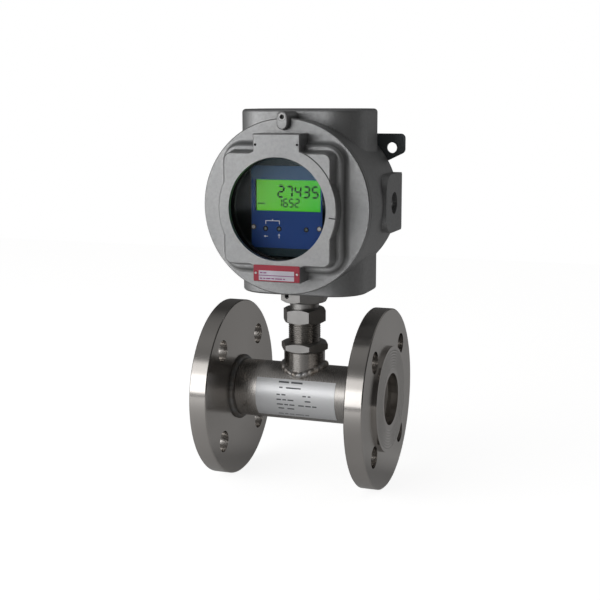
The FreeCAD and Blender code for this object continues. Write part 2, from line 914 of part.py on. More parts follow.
DRUM_FRONT = "-(rim_front - rim_thickness - rim_gap)"
TOWER_LOW = "-(drum_radius + drum_floor)"
TOWER_HIGH = "tower_height - drum_radius - drum_floor"


def housing():
    """The cast housing: rounded tower, drum, clamp boss and cable entry, hollow inside."""
    body = new_body("housing", HEAD)
    plan = new_sketch(body, "XY_Plane", TOWER_LOW)
    rounded_box(plan, "tower_half_width", "tower_half_depth", ["tower_corner"] * 4, "0", "tower_back")
    pad(body, plan, "tower_height")
    soften(body, "Fillet", "tower_top_edge", level_edges("z", TOWER_HIGH))
    soften(body, "Fillet", "tower_bottom_edge", level_edges("z", TOWER_LOW))
    back_radius = "drum_radius - drum_taper"
    turned(
        body,
        [
            ("0", DRUM_FRONT),
            ("drum_radius", DRUM_FRONT),
            (back_radius, "drum_back - drum_back_edge"),
            (f"{back_radius} - drum_back_edge", "drum_back"),
            ("0", "drum_back"),
        ],
        "V_Axis",
    )
    boss = circle(new_sketch(body, "XZ_Plane"), "clamp_boss / 2", "0", "clamp_pivot")
    pad(body, boss, "rim_front")
    entry = new_sketch(body, "YZ_Plane", "tower_half_width - casting_wall")
    corners = ["entry_back_corner", "entry_front_corner", "entry_front_corner", "entry_back_corner"]
    rounded_box(entry, "entry_half_depth", "entry_half_height", corners, "entry_back", "0")
    pad(body, entry, "entry_reach - tower_half_width + casting_wall")
    cavity = "drum_radius - drum_taper - casting_wall"
    turned(
        body,
        [
            ("0", f"{DRUM_FRONT} - cut_margin"),
            ("mouth_radius", f"{DRUM_FRONT} - cut_margin"),
            ("mouth_radius", f"{DRUM_FRONT} + mouth_depth"),
            (cavity, f"{DRUM_FRONT} + mouth_depth"),
            (cavity, "drum_back - drum_back_wall"),
            ("0", "drum_back - drum_back_wall"),
        ],
        "V_Axis",
        cut=True,
    )
    hollow = new_sketch(body, "XY_Plane", f"{TOWER_LOW} + casting_wall")
    back = "drum_back - drum_back_wall"
    front = "tower_back - tower_half_depth + casting_wall"
    rounded_box(
        hollow,
        "tower_half_width - casting_wall",
        f"({back} - ({front})) / 2",
        ["tower_corner - casting_wall"] * 4,
        "0",
        f"({back} + {front}) / 2",
    )
    pocket(body, hollow, "tower_height - 2 * casting_wall", Reversed=True)
    gland = circle(new_sketch(body, "YZ_Plane", "entry_reach"), "entry_hole / 2", "entry_back", "0")
    pocket(body, gland, "entry_reach - tower_half_width + 2 * casting_wall")
    stem_hole = circle(new_sketch(body, "XY_Plane", TOWER_LOW), "sleeve_od / 2 + thread_fit")
    pocket(body, stem_hole, "casting_wall + cut_margin", Reversed=True)
    clamp_hole = circle(new_sketch(body, "XZ_Plane", "rim_front"), "clamp_screw / 2", "0", "clamp_pivot")
    pocket(body, clamp_hole, "clamp_screw_depth")
    for side in (1, -1):
        lug_hole = circle(
            new_sketch(body, "XZ_Plane", "-drum_back"),
            "lug_screw / 2",
            f"{side} * lug_screw_side",
            f"{side} * lug_screw_height",
        )
        pocket(body, lug_hole, "lug_screw_depth", Reversed=True)
    return body


def mounting_lug(side):
    """One steel plate lug on the back of the drum, as a solid."""
    top, reach, inner = value("lug_top"), value("lug_reach"), value("lug_inner")
    thickness = value("lug_thickness")
    back = value("drum_back")
    outline = [
        (inner, top),
        (reach, top),
        (reach, top - value("lug_outer_drop")),
        (inner, top - value("lug_inner_drop")),
    ]
    points = [FreeCAD.Vector(side * across, back, side * up) for across, up in outline]
    face = Part.Face(Part.makePolygon(points + points[:1]))
    plate = face.extrude(FreeCAD.Vector(0, thickness, 0))
    outer_edges = [
        edge
        for edge in plate.Edges
        if abs(edge.tangentAt(edge.FirstParameter).y) > 0.99 and abs(edge.CenterOfMass.x) > reach - 0.1
    ]
    plate = plate.makeFillet(value("lug_corner"), outer_edges)
    out = FreeCAD.Vector(0, 1, 0)
    for radius, across, up in (
        ("lug_hole / 2", "lug_hole_side", "lug_hole_height"),
        ("lug_screw / 2 + thread_fit", "lug_screw_side", "lug_screw_height"),
    ):
        at = FreeCAD.Vector(side * value(across), back, side * value(up))
        plate = plate.cut(Part.makeCylinder(value(radius), thickness, at, out))
    return plate


def mounting_lugs():
    """The two lugs: upper right and lower left of the drum's back."""
    item = solid_feature("mounting_lugs", Part.Compound([mounting_lug(1), mounting_lug(-1)]))
    bind(item, {f"Placement.Base.{axis}": where for axis, where in zip("xyz", HEAD)})
    return item


def lug_screws():
    """The round head screws that hold the lugs."""
    out = FreeCAD.Vector(0, 1, 0)
    depth = value("lug_screw_depth")
    grip = value("lug_thickness")
    screws = []
    for side in (1, -1):
        at = FreeCAD.Vector(
            side * value("lug_screw_side"), value("drum_back") - depth, side * value("lug_screw_height")
        )
        shank = Part.makeCylinder(value("lug_screw / 2"), depth + grip, at, out)
        seat = at + out * (depth + grip)
        head = Part.makeCylinder(value("lug_screw_head / 2"), value("lug_screw_head_height"), seat, out)
        rim = [edge for edge in head.Edges if edge.BoundBox.YMin > seat.y + 0.1 and edge.Closed]
        head = head.makeChamfer(value("lug_screw_edge"), rim)
        screws.append(shank.fuse(head).removeSplitter())
    item = solid_feature("lug_screws", Part.Compound(screws))
    bind(item, {f"Placement.Base.{axis}": where for axis, where in zip("xyz", HEAD)})
    return item


# ---------------------------------------------------------------------------------------------
# Cover, window and lock
# ---------------------------------------------------------------------------------------------

COVER_BACK = f"{DRUM_FRONT} + mouth_depth - cover_end_gap"
GLASS_FRONT = "-(cover_front - cover_face_wall - glass_seal)"
GLASS_BACK = f"{GLASS_FRONT} + glass_thickness"
RING_BACK = f"{GLASS_BACK} + glass_ring_thickness"


def cover():
    """The screwed cover: rim disc and spigot, stepped rounded block, window hub and upright tab."""
    body = new_body("cover", HEAD)
    rim_back = "-(rim_front - rim_thickness)"
    turned(
        body,
        [
            ("0", "-rim_front"),
            ("drum_radius - rim_edge", "-rim_front"),
            ("drum_radius", "-rim_front + rim_edge"),
            ("drum_radius", rim_back),
            ("cover_spigot - seal_groove", rim_back),
            ("cover_spigot - seal_groove", f"{rim_back} + seal_width"),
            ("cover_spigot", f"{rim_back} + seal_width"),
            ("cover_spigot", COVER_BACK),
            ("0", COVER_BACK),
        ],
        "V_Axis",
    )
    tier = new_sketch(body, "XZ_Plane", "rim_front")
    rounded_box(tier, "tier_half_width", "tier_half_height", ["tier_corner"] * 4)
    pad(body, tier, "tier_step")
    soften(body, "Fillet", "tier_edge", level_edges("y", "-(rim_front + tier_step)"))
    soften(body, "Fillet", "tier_root", root_edges("-rim_front", "tier_half_width"))
    block = new_sketch(body, "XZ_Plane", "rim_front + tier_step")
    rise = "cover_front - rim_front - tier_step"
    spread = f"({rise}) * tan(block_draft)"
    rounded_box(
        block,
        f"block_half_width + {spread}",
        f"block_half_height + {spread}",
        [f"block_corner + {spread}"] * 4,
    )
    tapered = pad(body, block, rise)
    bind(tapered, {"TaperAngle": "-block_draft"})
    step = "-(rim_front + tier_step)"
    soften(body, "Fillet", "block_root", root_edges(step, f"block_half_width + {spread}"))
    hub = circle(new_sketch(body, "XZ_Plane", "rim_front"), "hub_radius")
    pad(body, hub, "cover_front - rim_front")
    tab = polygon(
        new_sketch(body, "XZ_Plane", "rim_front"),
        [
            ("-tab_half_width", "-tab_bottom"),
            ("tab_half_width", "-tab_bottom"),
            ("tab_half_width", "tab_top"),
            ("-tab_half_width", "tab_top"),
        ],
    )
    pad(body, tab, "cover_front - rim_front")
    soften(body, "Chamfer", "block_edge", level_edges("y", "-cover_front"))
    turned(
        body,
        [
            ("0", "-cover_front - cut_margin"),
            ("window_radius", "-cover_front - cut_margin"),
            ("window_radius", "-(cover_front - cover_face_wall)"),
            ("cover_bore", "-(cover_front - cover_face_wall)"),
            ("cover_bore", rim_back),
            ("cover_cavity", rim_back),
            ("cover_cavity", f"{COVER_BACK} + cut_margin"),
            ("0", f"{COVER_BACK} + cut_margin"),
        ],
        "V_Axis",
        cut=True,
    )
    notch = new_sketch(body, "XZ_Plane", "rim_front - rim_thickness")
    slot = "clamp_width / 2 + clamp_notch_gap"
    low = "clamp_pivot - clamp_reach - clamp_notch_gap"
    half = f"(drum_radius + clamp_width - ({low})) / 2"
    rounded_box(notch, slot, half, [f"{slot} - least_flat"] * 4, "0", f"{low} + {half}")
    pocket(body, notch, "rim_thickness", Reversed=True)
    for across, up in (("tab_rivet_side", "tab_hole_height"), ("tab_rivet_side", "-tag_centre")):
        for side in (1, -1):
            front = new_sketch(body, "XZ_Plane", "cover_front")
            hole = circle(front, "tab_hole / 2", f"{side} * {across}", up)
            pocket(body, hole, "tab_hole_depth")
    return body


def head_turning(label, corners):
    """A turned part on the drum's axis."""
    body = new_body(label, HEAD)
    turned(body, corners, "V_Axis")
    return body


def window_glass():
    """The thick round window."""
    return head_turning(
        "window_glass",
        [("0", GLASS_FRONT), ("glass_radius", GLASS_FRONT), ("glass_radius", GLASS_BACK), ("0", GLASS_BACK)],
    )


def window_seal():
    """The flat seal between glass and cover."""
    front = "-(cover_front - cover_face_wall)"
    inner = "window_radius + glass_seal_step"
    return head_turning(
        "window_seal",
        [(inner, front), ("glass_radius", front), ("glass_radius", GLASS_FRONT), (inner, GLASS_FRONT)],
    )


def glass_ring():
    """The threaded ring that holds the glass from behind."""
    outer = "cover_bore - thread_fit"
    return head_turning(
        "glass_ring",
        [
            ("glass_ring_bore", GLASS_BACK),
            (outer, GLASS_BACK),
            (outer, RING_BACK),
            ("glass_ring_bore", RING_BACK),
        ],
    )


def cover_seal():
    """The square seal ring behind the cover's rim, in the spigot's groove."""
    inner, outer = "cover_spigot - seal_groove", "mouth_radius - seal_gap"
    front = "-(rim_front - rim_thickness)"
    back = f"{front} + seal_width"
    return head_turning("cover_seal", [(inner, front), (outer, front), (outer, back), (inner, back)])


def tag_plate():
    """The riveted plate on the tab's foot."""
    body = new_body("tag_plate", HEAD)
    sketch = new_sketch(body, "XZ_Plane", "cover_front")
    rounded_box(sketch, "tag_width / 2", "tag_height / 2", ["tag_corner"] * 4, "0", "-tag_centre")
    for side in (1, -1):
        circle(sketch, "tab_hole / 2", f"{side} * tab_rivet_side", "-tag_centre")
    pad(body, sketch, "tag_thickness")
    return body


def tag_rivets():
    """Two round head rivets through the plate."""
    out = FreeCAD.Vector(0, -1, 0)
    start = value("rivet_depth - cover_front")
    length = value("rivet_depth + tag_thickness")
    flat = value("rivet_head / 2 - rivet_edge")
    rivets = []
    for side in (1, -1):
        at = FreeCAD.Vector(side * value("tab_rivet_side"), start, -value("tag_centre"))
        shank = Part.makeCylinder(value("tab_hole / 2 - shaft_fit"), length, at, out)
        head = Part.makeCone(value("rivet_head / 2"), flat, value("rivet_rise"), at + out * length, out)
        rivets.append(shank.fuse(head).removeSplitter())
    item = solid_feature("tag_rivets", Part.Compound(rivets))
    bind(item, {f"Placement.Base.{axis}": where for axis, where in zip("xyz", HEAD)})
    return item


def cover_clamp():
    """The oval lock clamp that stands over the cover's rim."""
    body = new_body("cover_clamp", HEAD)
    outline = new_sketch(body, "XZ_Plane", "rim_front + clamp_gap")
    half = "(clamp_reach + clamp_tail) / 2"
    middle = "clamp_pivot + (clamp_tail - clamp_reach) / 2"
    rounded_box(outline, "clamp_width / 2", half, ["clamp_width / 2 - least_flat"] * 4, "0", middle)
    pad(body, outline, "clamp_thickness")
    soften(body, "Chamfer", "clamp_edge", level_edges("y", "-(rim_front + clamp_gap + clamp_thickness)"))
    front = "rim_front + clamp_gap + clamp_thickness"
    for radius, depth in (
        ("clamp_screw / 2 + clamp_screw_fit", "clamp_thickness"),
        ("clamp_screw_head / 2 + swivel_gap", "clamp_screw_seat"),
    ):
        hole = circle(new_sketch(body, "XZ_Plane", front), radius, "0", "clamp_pivot")
        pocket(body, hole, depth)
    return body


def clamp_screw():
    """The socket screw that the clamp turns on."""
    body = new_body("clamp_screw", (MIDDLE, "0", "drum_height + clamp_pivot"))
    front = "-(rim_front + clamp_gap + clamp_thickness)"
    seat = f"{front} + clamp_screw_seat - thread_fit"
    tip = "-(rim_front - clamp_screw_depth)"
    shank, head = "clamp_screw / 2", "clamp_screw_head / 2"
    turned(
        body,
        [("0", front), (head, front), (head, seat), (shank, seat), (shank, tip), ("0", tip)],
        "V_Axis",
    )
    socket = hexagon(new_sketch(body, "XZ_Plane", f"-({front})"), "clamp_hex")
    pocket(body, socket, "clamp_hex_depth")
    return body


# ---------------------------------------------------------------------------------------------
# Indicator module
# ---------------------------------------------------------------------------------------------

MODULE_FRONT = "panel_front - foil_thickness"
MODULE_BACK = "panel_front - foil_thickness - module_depth"
BUTTONS = {
    "button_left": "button_first",
    "button_middle": "button_second",
    "button_right": "button_third",
}


def display_module():
    """The module's case: chamfered block with the display window, button wells and screw holes."""
    body = new_body("display_module", HEAD)
    face = new_sketch(body, "XZ_Plane", MODULE_BACK)
    half_x, half_z, cut = "module_half_width", "module_half_height", "module_corner"
    polygon(
        face,
        [
            (f"{half_x} - {cut}", f"-{half_z}"),
            (half_x, f"-({half_z} - {cut})"),
            (half_x, f"{half_z} - {cut}"),
            (f"{half_x} - {cut}", half_z),
            (f"-({half_x} - {cut})", half_z),
            (f"-{half_x}", f"{half_z} - {cut}"),
            (f"-{half_x}", f"-({half_z} - {cut})"),
            (f"-({half_x} - {cut})", f"-{half_z}"),
        ],
    )
    pad(body, face, "module_depth")
    soften(body, "Chamfer", "module_edge", level_edges("y", f"-({MODULE_FRONT})"))
    window = new_sketch(body, "XZ_Plane", MODULE_FRONT)
    rounded_box(window, "lcd_width / 2", "lcd_height / 2", ["lcd_corner"] * 4, "lcd_shift", "lcd_centre")
    pocket(body, window, "lcd_recess + lcd_depth - foil_thickness")
    for place in BUTTONS.values():
        well = new_sketch(body, "XZ_Plane", MODULE_FRONT)
        circle(well, "button_diameter / 2 + button_fit", place, "button_height")
        pocket(body, well, "button_depth + button_travel + button_fit")
    for side in (1, -1):
        hole = circle(
            new_sketch(body, "XZ_Plane", MODULE_FRONT),
            "panel_screw_head / 4",
            f"{side} * panel_screw_side",
            "panel_screw_height",
        )
        pocket(body, hole, "panel_screw_length")
    return body


def front_foil():
    """The printed foil with its display window and holes."""
    body = new_body("front_foil", HEAD)
    sketch = new_sketch(body, "XZ_Plane", MODULE_FRONT)
    rounded_box(sketch, "foil_width / 2", "foil_height / 2", ["foil_corner"] * 4, "foil_shift", "foil_centre")
    rounded_box(sketch, "lcd_width / 2", "lcd_height / 2", ["lcd_corner"] * 4, "lcd_shift", "lcd_centre")
    for place in BUTTONS.values():
        circle(sketch, "button_diameter / 2 + button_fit", place, "button_height")
    for side in (1, -1):
        circle(sketch, "panel_screw_head / 4", f"{side} * panel_screw_side", "panel_screw_height")
    pad(body, sketch, "foil_thickness")
    return body


def lcd():
    """The liquid crystal glass in its window."""
    body = new_body("lcd", HEAD)
    sketch = new_sketch(body, "XZ_Plane", "panel_front - lcd_recess - lcd_depth")
    half_width = "lcd_width / 2 - lcd_fit"
    half_height = "lcd_height / 2 - lcd_fit"
    rounded_box(sketch, half_width, half_height, ["lcd_corner - lcd_fit"] * 4, "lcd_shift", "lcd_centre")
    pad(body, sketch, "lcd_depth")
    return body


def push_button(label, place):
    """One push button in its well."""
    body = new_body(label, HEAD)
    sketch = new_sketch(body, "XZ_Plane", f"{MODULE_FRONT} - button_depth")
    circle(sketch, "button_diameter / 2", place, "button_height")
    pad(body, sketch, "button_depth + button_stand")
    soften(body, "Chamfer", "button_edge", level_edges("y", f"-({MODULE_FRONT} + button_stand)"))
    return body


def panel_screws():
    """The two screws through the foil."""
    out = FreeCAD.Vector(0, -1, 0)
    length = value("panel_screw_length + foil_thickness")
    stand = value("panel_screw_stand")
    width, length_up = value("panel_slot_width"), value("panel_slot_length")
    across, height = value("panel_screw_side"), value("panel_screw_height")
    screws = []
    for side in (1, -1):
        face = FreeCAD.Vector(side * across, -value("panel_front"), height)
        shank = Part.makeCylinder(value("panel_screw_head / 4 - shaft_fit"), length, face - out * length, out)
        head = Part.makeCylinder(value("panel_screw_head / 2"), stand, face, out)
        corner = face - FreeCAD.Vector(width / 2, stand, length_up / 2)
        cut = Part.makeBox(width, value("panel_slot_depth"), length_up, corner)
        screws.append(shank.fuse(head).cut(cut).removeSplitter())
    item = solid_feature("panel_screws", Part.Compound(screws))
    bind(item, {f"Placement.Base.{axis}": where for axis, where in zip("xyz", HEAD)})
    return item


def circuit_board():
    """The board against the module's back."""
    body = new_body("circuit_board", HEAD)
    sketch = new_sketch(body, "XZ_Plane", f"{MODULE_BACK} - board_thickness")
    half_width = "module_half_width - board_margin"
    half_height = "module_half_height - board_margin"
    rounded_box(sketch, half_width, half_height, ["module_corner"] * 4)
    pad(body, sketch, "board_thickness")
    return body


def board_pillars():
    """Four hexagon pillars from the drum's back wall to the board."""
    reach = value("pillar_diameter / sqrt(3)")
    front = -value(f"{MODULE_BACK} - board_thickness")
    back = value("drum_back - drum_back_wall")
    pillars = []
    for across in (1, -1):
        for up in (1, -1):
            at = FreeCAD.Vector(across * value("pillar_side"), front, up * value("pillar_height"))
            ring = [
                at + FreeCAD.Vector(reach * math.cos(turn), 0, reach * math.sin(turn))
                for turn in (math.radians(60 * step) for step in range(6))
            ]
            face = Part.Face(Part.makePolygon(ring + ring[:1]))
            pillars.append(face.extrude(FreeCAD.Vector(0, back - front, 0)))
    item = solid_feature("board_pillars", Part.Compound(pillars))
    bind(item, {f"Placement.Base.{axis}": where for axis, where in zip("xyz", HEAD)})
    return item


def tube_label():
    """The sticker that wraps the tube's front."""
    inner = value("tube_od / 2 + label_fit")
    outer = inner + value("label_thickness")
    left, right = value("label_left"), value("label_right")
    low, high = value("label_low_angle"), value("label_high_angle")
    strip = ring_solid([(left, inner), (left, outer), (right, outer), (right, inner)], low, high - low)
    item = solid_feature("tube_label", strip)
    bind(item, {"Placement.Base.x": MIDDLE})
    return item


def build():
    """Every part, in the order of assembly."""
    parts = [
        meter_tube(),
        flange("inlet_flange", at_outlet=False),
        flange("outlet_flange", at_outlet=True),
        flange_welds(),
        flow_support("inlet_support", at_outlet=False),
        flow_support("outlet_support", at_outlet=True),
        retaining_rings(),
        rotor_shaft(),
        thrust_washers(),
        rotor(),
        rotor_bush(),
        sensor_collar(),
        collar_weld(),
        threaded_sleeve(),
        pickup_coil(),
        hex_nut("lock_nut", "lock_nut_flats", COLLAR_TOP, "lock_nut_height", "sleeve_od / 2 + thread_fit"),
        union_nut(),
        swivel_adaptor(),
        grub_screw(),
        housing(),
        mounting_lugs(),
        lug_screws(),
        cover(),
        window_glass(),
        window_seal(),
        glass_ring(),
        cover_seal(),
        tag_plate(),
        tag_rivets(),
        cover_clamp(),
        clamp_screw(),
        display_module(),
        front_foil(),
        lcd(),
        panel_screws(),
        circuit_board(),
        board_pillars(),
        tube_label(),
    ]
    parts += [push_button(label, place) for label, place in BUTTONS.items()]
    return parts


def check(parts):
    """Stops on any failed object or faulty shape."""
    doc.recompute()
    for item in doc.Objects:
        if {"Invalid", "Error"} & set(item.State):
            raise RuntimeError(f"{item.Label} failed: {item.State}")
    for item in parts:
        if item.Shape.isNull() or not item.Shape.isValid():
            raise RuntimeError(f"{item.Label} has a faulty shape")


parts = build()
check(parts)
os.makedirs("parts", exist_ok=True)
for item in parts:
    item.Shape.exportStep(os.path.join("parts", f"{item.Label}.step"))
    solids = len(item.Shape.Solids)
    print(f"{item.Label}: {solids} solid(s), {item.Shape.Volume / 1000:.2f} cm3")
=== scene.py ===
"""Looks of the turbine flow meter: finishes, window and display, thread, weld beads, studio and camera."""
import math

import bpy
from mathutils import Matrix, Vector


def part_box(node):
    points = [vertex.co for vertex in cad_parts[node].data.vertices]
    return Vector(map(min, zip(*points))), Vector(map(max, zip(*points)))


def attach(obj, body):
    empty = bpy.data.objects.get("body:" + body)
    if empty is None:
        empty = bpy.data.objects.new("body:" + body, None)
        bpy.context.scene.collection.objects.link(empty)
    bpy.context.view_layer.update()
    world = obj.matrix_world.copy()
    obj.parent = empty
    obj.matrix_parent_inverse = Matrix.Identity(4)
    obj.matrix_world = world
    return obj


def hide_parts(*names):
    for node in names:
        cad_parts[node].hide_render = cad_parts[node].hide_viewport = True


MM = 0.001

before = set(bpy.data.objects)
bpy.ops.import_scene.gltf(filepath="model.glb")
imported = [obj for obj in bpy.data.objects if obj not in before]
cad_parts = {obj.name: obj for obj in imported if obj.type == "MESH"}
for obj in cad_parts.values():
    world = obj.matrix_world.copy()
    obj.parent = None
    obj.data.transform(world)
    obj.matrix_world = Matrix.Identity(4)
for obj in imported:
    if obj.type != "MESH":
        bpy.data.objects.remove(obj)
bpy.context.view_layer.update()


# ---------------------------------------------------------------------------------------------
# Places read from the frame, in metres
# ---------------------------------------------------------------------------------------------


def middle(node, axis):
    """The middle of a CAD node's box along one axis."""
    low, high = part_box(node)
    return (low[axis] + high[axis]) / 2


PIPE_X = middle("meter_tube", 0)
TUBE_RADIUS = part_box("meter_tube")[1].z
DRUM_Z = middle("window_glass", 2)
PANEL_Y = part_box("front_foil")[0].y
LCD_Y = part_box("lcd")[0].y
COVER_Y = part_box("cover")[0].y
TAG_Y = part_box("tag_plate")[0].y
FLOOR_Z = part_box("inlet_flange")[0].z
PIPE_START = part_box("inlet_flange")[0].x
PIPE_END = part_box("outlet_flange")[1].x

# Points on the axes of the three round groups: the pipe along X, the drum along Y, the stem along Z
PIPE_CENTRE = (0, 0, 0)
DRUM_CENTRE = (PIPE_X, 0, DRUM_Z)
STEM_CENTRE = (PIPE_X, 0, 0)


# ---------------------------------------------------------------------------------------------
# Shader helpers
# ---------------------------------------------------------------------------------------------

# A Mix node has sockets of the same name for each data type, so the colour ones go by number
MIX_FACTOR, MIX_FIRST, MIX_SECOND, MIX_RESULT = 0, 6, 7, 2
WHITE = (1, 1, 1, 1)
NOISE_RANGE = (0.3, 0.7)  # nearly all of a noise's values lie in it


def new_material(name):
    """An empty node material with a Principled shader."""
    material = bpy.data.materials.new(name)
    material.use_nodes = True
    tree = material.node_tree
    return material, tree, tree.nodes["Principled BSDF"]


def put(tree, kind, inputs=None, output=0, **settings):
    """Adds a node, sets or links its inputs by name or number, and gives one of its outputs."""
    node = tree.nodes.new(f"ShaderNode{kind}")
    for key, choice in settings.items():
        setattr(node, key, choice)
    for key, source in (inputs or {}).items():
        if isinstance(source, bpy.types.NodeSocket):
            tree.links.new(source, node.inputs[key])
        else:
            node.inputs[key].default_value = source
    return node.outputs[output]


def maths(tree, operation, first, second=0.0, clamp=False):
    """One math operation on values or sockets."""
    return put(tree, "Math", {0: first, 1: second}, operation=operation, use_clamp=clamp)


def chain(tree, operation, parts):
    """One math operation carried through several values or sockets."""
    result = parts[0]
    for part in parts[1:]:
        result = maths(tree, operation, result, part)
    return result


def between(tree, source, low, high):
    """1 where a value lies between two levels, and 0 elsewhere."""
    above = maths(tree, "GREATER_THAN", source, low)
    below = maths(tree, "LESS_THAN", source, high)
    return maths(tree, "MULTIPLY", above, below)


def sine_wave(tree, source, pitch):
    """A sine wave of a pitch in metres, from -1 to 1."""
    return maths(tree, "SINE", maths(tree, "MULTIPLY", source, 2 * math.pi / pitch))


def blend(tree, factor, first, second):
    """Mixes two colours."""
    inputs = {MIX_FACTOR: factor, MIX_FIRST: first, MIX_SECOND: second}
    return put(tree, "Mix", inputs, output=MIX_RESULT, data_type="RGBA", blend_type="MIX")


def stain(tree, colour, mask, share, other):
    """Mixes another colour into one, by a share of a mask."""
    return blend(tree, maths(tree, "MULTIPLY", mask, share), colour, other)


def spread(tree, source, low, high, start=0.0, end=1.0):
    """Maps the range from start to end to the one from low to high, and holds it there."""
    inputs = {"Value": source, "From Min": start, "From Max": end, "To Min": low, "To Max": high}
    return put(tree, "MapRange", inputs)


def vary(tree, texture, low, high):
    """A value that follows a noise from low to high."""
    return spread(tree, texture, low, high, *NOISE_RANGE)


def noise(tree, vector, scale, detail, roughness):
    """Noise from 0 to 1."""
    inputs = {"Vector": vector, "Scale": scale, "Detail": detail, "Roughness": roughness}
    return put(tree, "TexNoise", inputs)


def place(tree):
    """The point in the row frame, riding with the piece."""
    return put(tree, "TexCoord", output="Object")


def parts_of(tree, vector):
    """The three parts of a vector."""
    split = tree.nodes.new("ShaderNodeSeparateXYZ")
    tree.links.new(vector, split.inputs[0])
    return split.outputs[0], split.outputs[1], split.outputs[2]


def round_axis(tree, axis, centre):
    """Distance along an axis, distance from it, and the angle about it."""
    shifted = put(tree, "VectorMath", {0: place(tree), 1: centre}, operation="SUBTRACT")
    parts = list(parts_of(tree, shifted))
    along = parts.pop(axis)
    first, second = parts
    across = put(tree, "CombineXYZ", {0: first, 1: second})
    radius = put(tree, "VectorMath", {0: across}, output="Value", operation="LENGTH")
    return along, radius, maths(tree, "ARCTAN2", second, first)


def bump(tree, height, depth, strength, normal=None):
    """A bump of a depth in metres, on top of another one if there is one."""
    inputs = {"Height": height, "Distance": depth, "Strength": strength}
    if normal is not None:
        inputs["Normal"] = normal
    return put(tree, "Bump", inputs)


def shade(tree, shader, **inputs):
    """Sets or links the shader's sockets; an underscore in a name stands for a space."""
    for key, source in inputs.items():
        socket = shader.inputs[key.replace("_", " ")]
        if isinstance(source, bpy.types.NodeSocket):
            tree.links.new(source, socket)
        else:
            socket.default_value = source


def grey(level, warmth=0.0):
    """An opaque grey, warmer for a positive second number."""
    return (level * (1 + warmth), level, level * (1 - warmth), 1)


# ---------------------------------------------------------------------------------------------
# Masks: 1 on one part of a surface, 0 elsewhere
# ---------------------------------------------------------------------------------------------

GROOVE_RADIUS = 49 * MM
GROOVE_HALF_WIDTH = 0.45 * MM
GROOVE_START = math.radians(-7)
GROOVE_END = math.radians(62)
TICK_INNER = 43 * MM
COVER_FACE_DEPTH = 0.2 * MM

SERRATION_PITCH = 2.3 * MM
SERRATION_INNER = 25 * MM
SERRATION_OUTER = 42 * MM
SEALING_FACE_DEPTH = 0.1 * MM


def shaded_inside_mask(tree, radius, front, back):
    """The surfaces nearer the drum's axis than a radius, between two levels along Y, that are painted black
    as shade.
    """
    along, out, _ = round_axis(tree, 1, DRUM_CENTRE)
    near = maths(tree, "LESS_THAN", out, radius)
    return maths(tree, "MULTIPLY", near, between(tree, along, front, back))


def disc_mask(tree, box, radius):
    """All within a radius of the line along Y through a box's middle."""
    low, high = box
    centre = ((low.x + high.x) / 2, 0, (low.z + high.z) / 2)
    _, out, _ = round_axis(tree, 1, centre)
    return maths(tree, "LESS_THAN", out, radius)


def cover_groove(tree):
    """A fine turned line round the window's right side that ends in a short tick across the face."""
    along, out, angle = round_axis(tree, 1, DRUM_CENTRE)
    face = maths(tree, "LESS_THAN", along, COVER_Y + COVER_FACE_DEPTH)
    off_arc = maths(tree, "ABSOLUTE", maths(tree, "SUBTRACT", out, GROOVE_RADIUS))
    arc = maths(tree, "LESS_THAN", off_arc, GROOVE_HALF_WIDTH)
    arc = maths(tree, "MULTIPLY", arc, between(tree, angle, GROOVE_START, GROOVE_END))
    off_tick = maths(tree, "ABSOLUTE", maths(tree, "SUBTRACT", angle, GROOVE_START))
    tick = maths(tree, "LESS_THAN", maths(tree, "MULTIPLY", off_tick, out), GROOVE_HALF_WIDTH)
    tick = maths(tree, "MULTIPLY", tick, between(tree, out, TICK_INNER, GROOVE_RADIUS))
    return maths(tree, "MULTIPLY", face, maths(tree, "MAXIMUM", arc, tick))


def serration(tree, along, out):
    """Ring grooves on the raised sealing faces, from -0.5 to 0.5, and 0 elsewhere."""
    inlet = maths(tree, "LESS_THAN", along, PIPE_START + SEALING_FACE_DEPTH)
    outlet = maths(tree, "GREATER_THAN", along, PIPE_END - SEALING_FACE_DEPTH)
    face = maths(tree, "MAXIMUM", inlet, outlet)
    ring = between(tree, out, SERRATION_INNER, SERRATION_OUTER)
    half_wave = maths(tree, "MULTIPLY", sine_wave(tree, out, SERRATION_PITCH), 0.5)
    return chain(tree, "MULTIPLY", (ring, face, half_wave))


# ---------------------------------------------------------------------------------------------
# Materials
# ---------------------------------------------------------------------------------------------

CAST_METALNESS = 0.93
SHADED_INSIDE_ROUGHNESS = 0.7
SCREW_SOCKET_RADIUS = 1.9 * MM

LINES_PER_METRE = 3600  # turned lines, along the axis and out from it
LINE_BREAKS_PER_RADIAN = 1.5
ACROSS_LINES = 0.25  # the highlight's turn, as a share of a full one, that spreads it across turned lines

SCRATCH_SCALE = (900, 900, 5000)
BRUSHED_SCALE = (60, 4000, 4000)

# The specular level of what lies behind the window, low because the window mirrors in its place
BEHIND_GLASS = 0.12

FOIL_TOP = (0.006, 0.045, 0.20, 1)
FOIL_FOOT = (0.010, 0.055, 0.26, 1)
FOIL_BAND = (0.052, 0.125, 0.245, 1)
FOIL_FLECK = (0.1, 0.2, 0.4, 1)
FOIL_BAND_EDGE = 0.8 * MM

LCD_LEFT = (0.11, 0.47, 0.02, 1)
LCD_RIGHT = (0.035, 0.44, 0.025, 1)
LCD_CLOUD = (0.10, 0.42, 0.04, 1)
LCD_DOT = (0.02, 0.2, 0.02, 1)
LCD_DOT_PITCH = 0.7 * MM
LCD_GLOW = 0.4

GLASS_TINT = (0.86, 0.94, 0.96, 1)
GLASS_IOR = 1.45
GLASS_MIRROR = 0.12
GLASS_SMEAR = 0.003

FILM_DARK = (0.80, 0.81, 0.83, 1)
FILM_LIGHT = (0.88, 0.89, 0.90, 1)
LUG_DARK = (0.012, 0.026, 0.034, 1)
LUG_LIGHT = (0.024, 0.045, 0.056, 1)


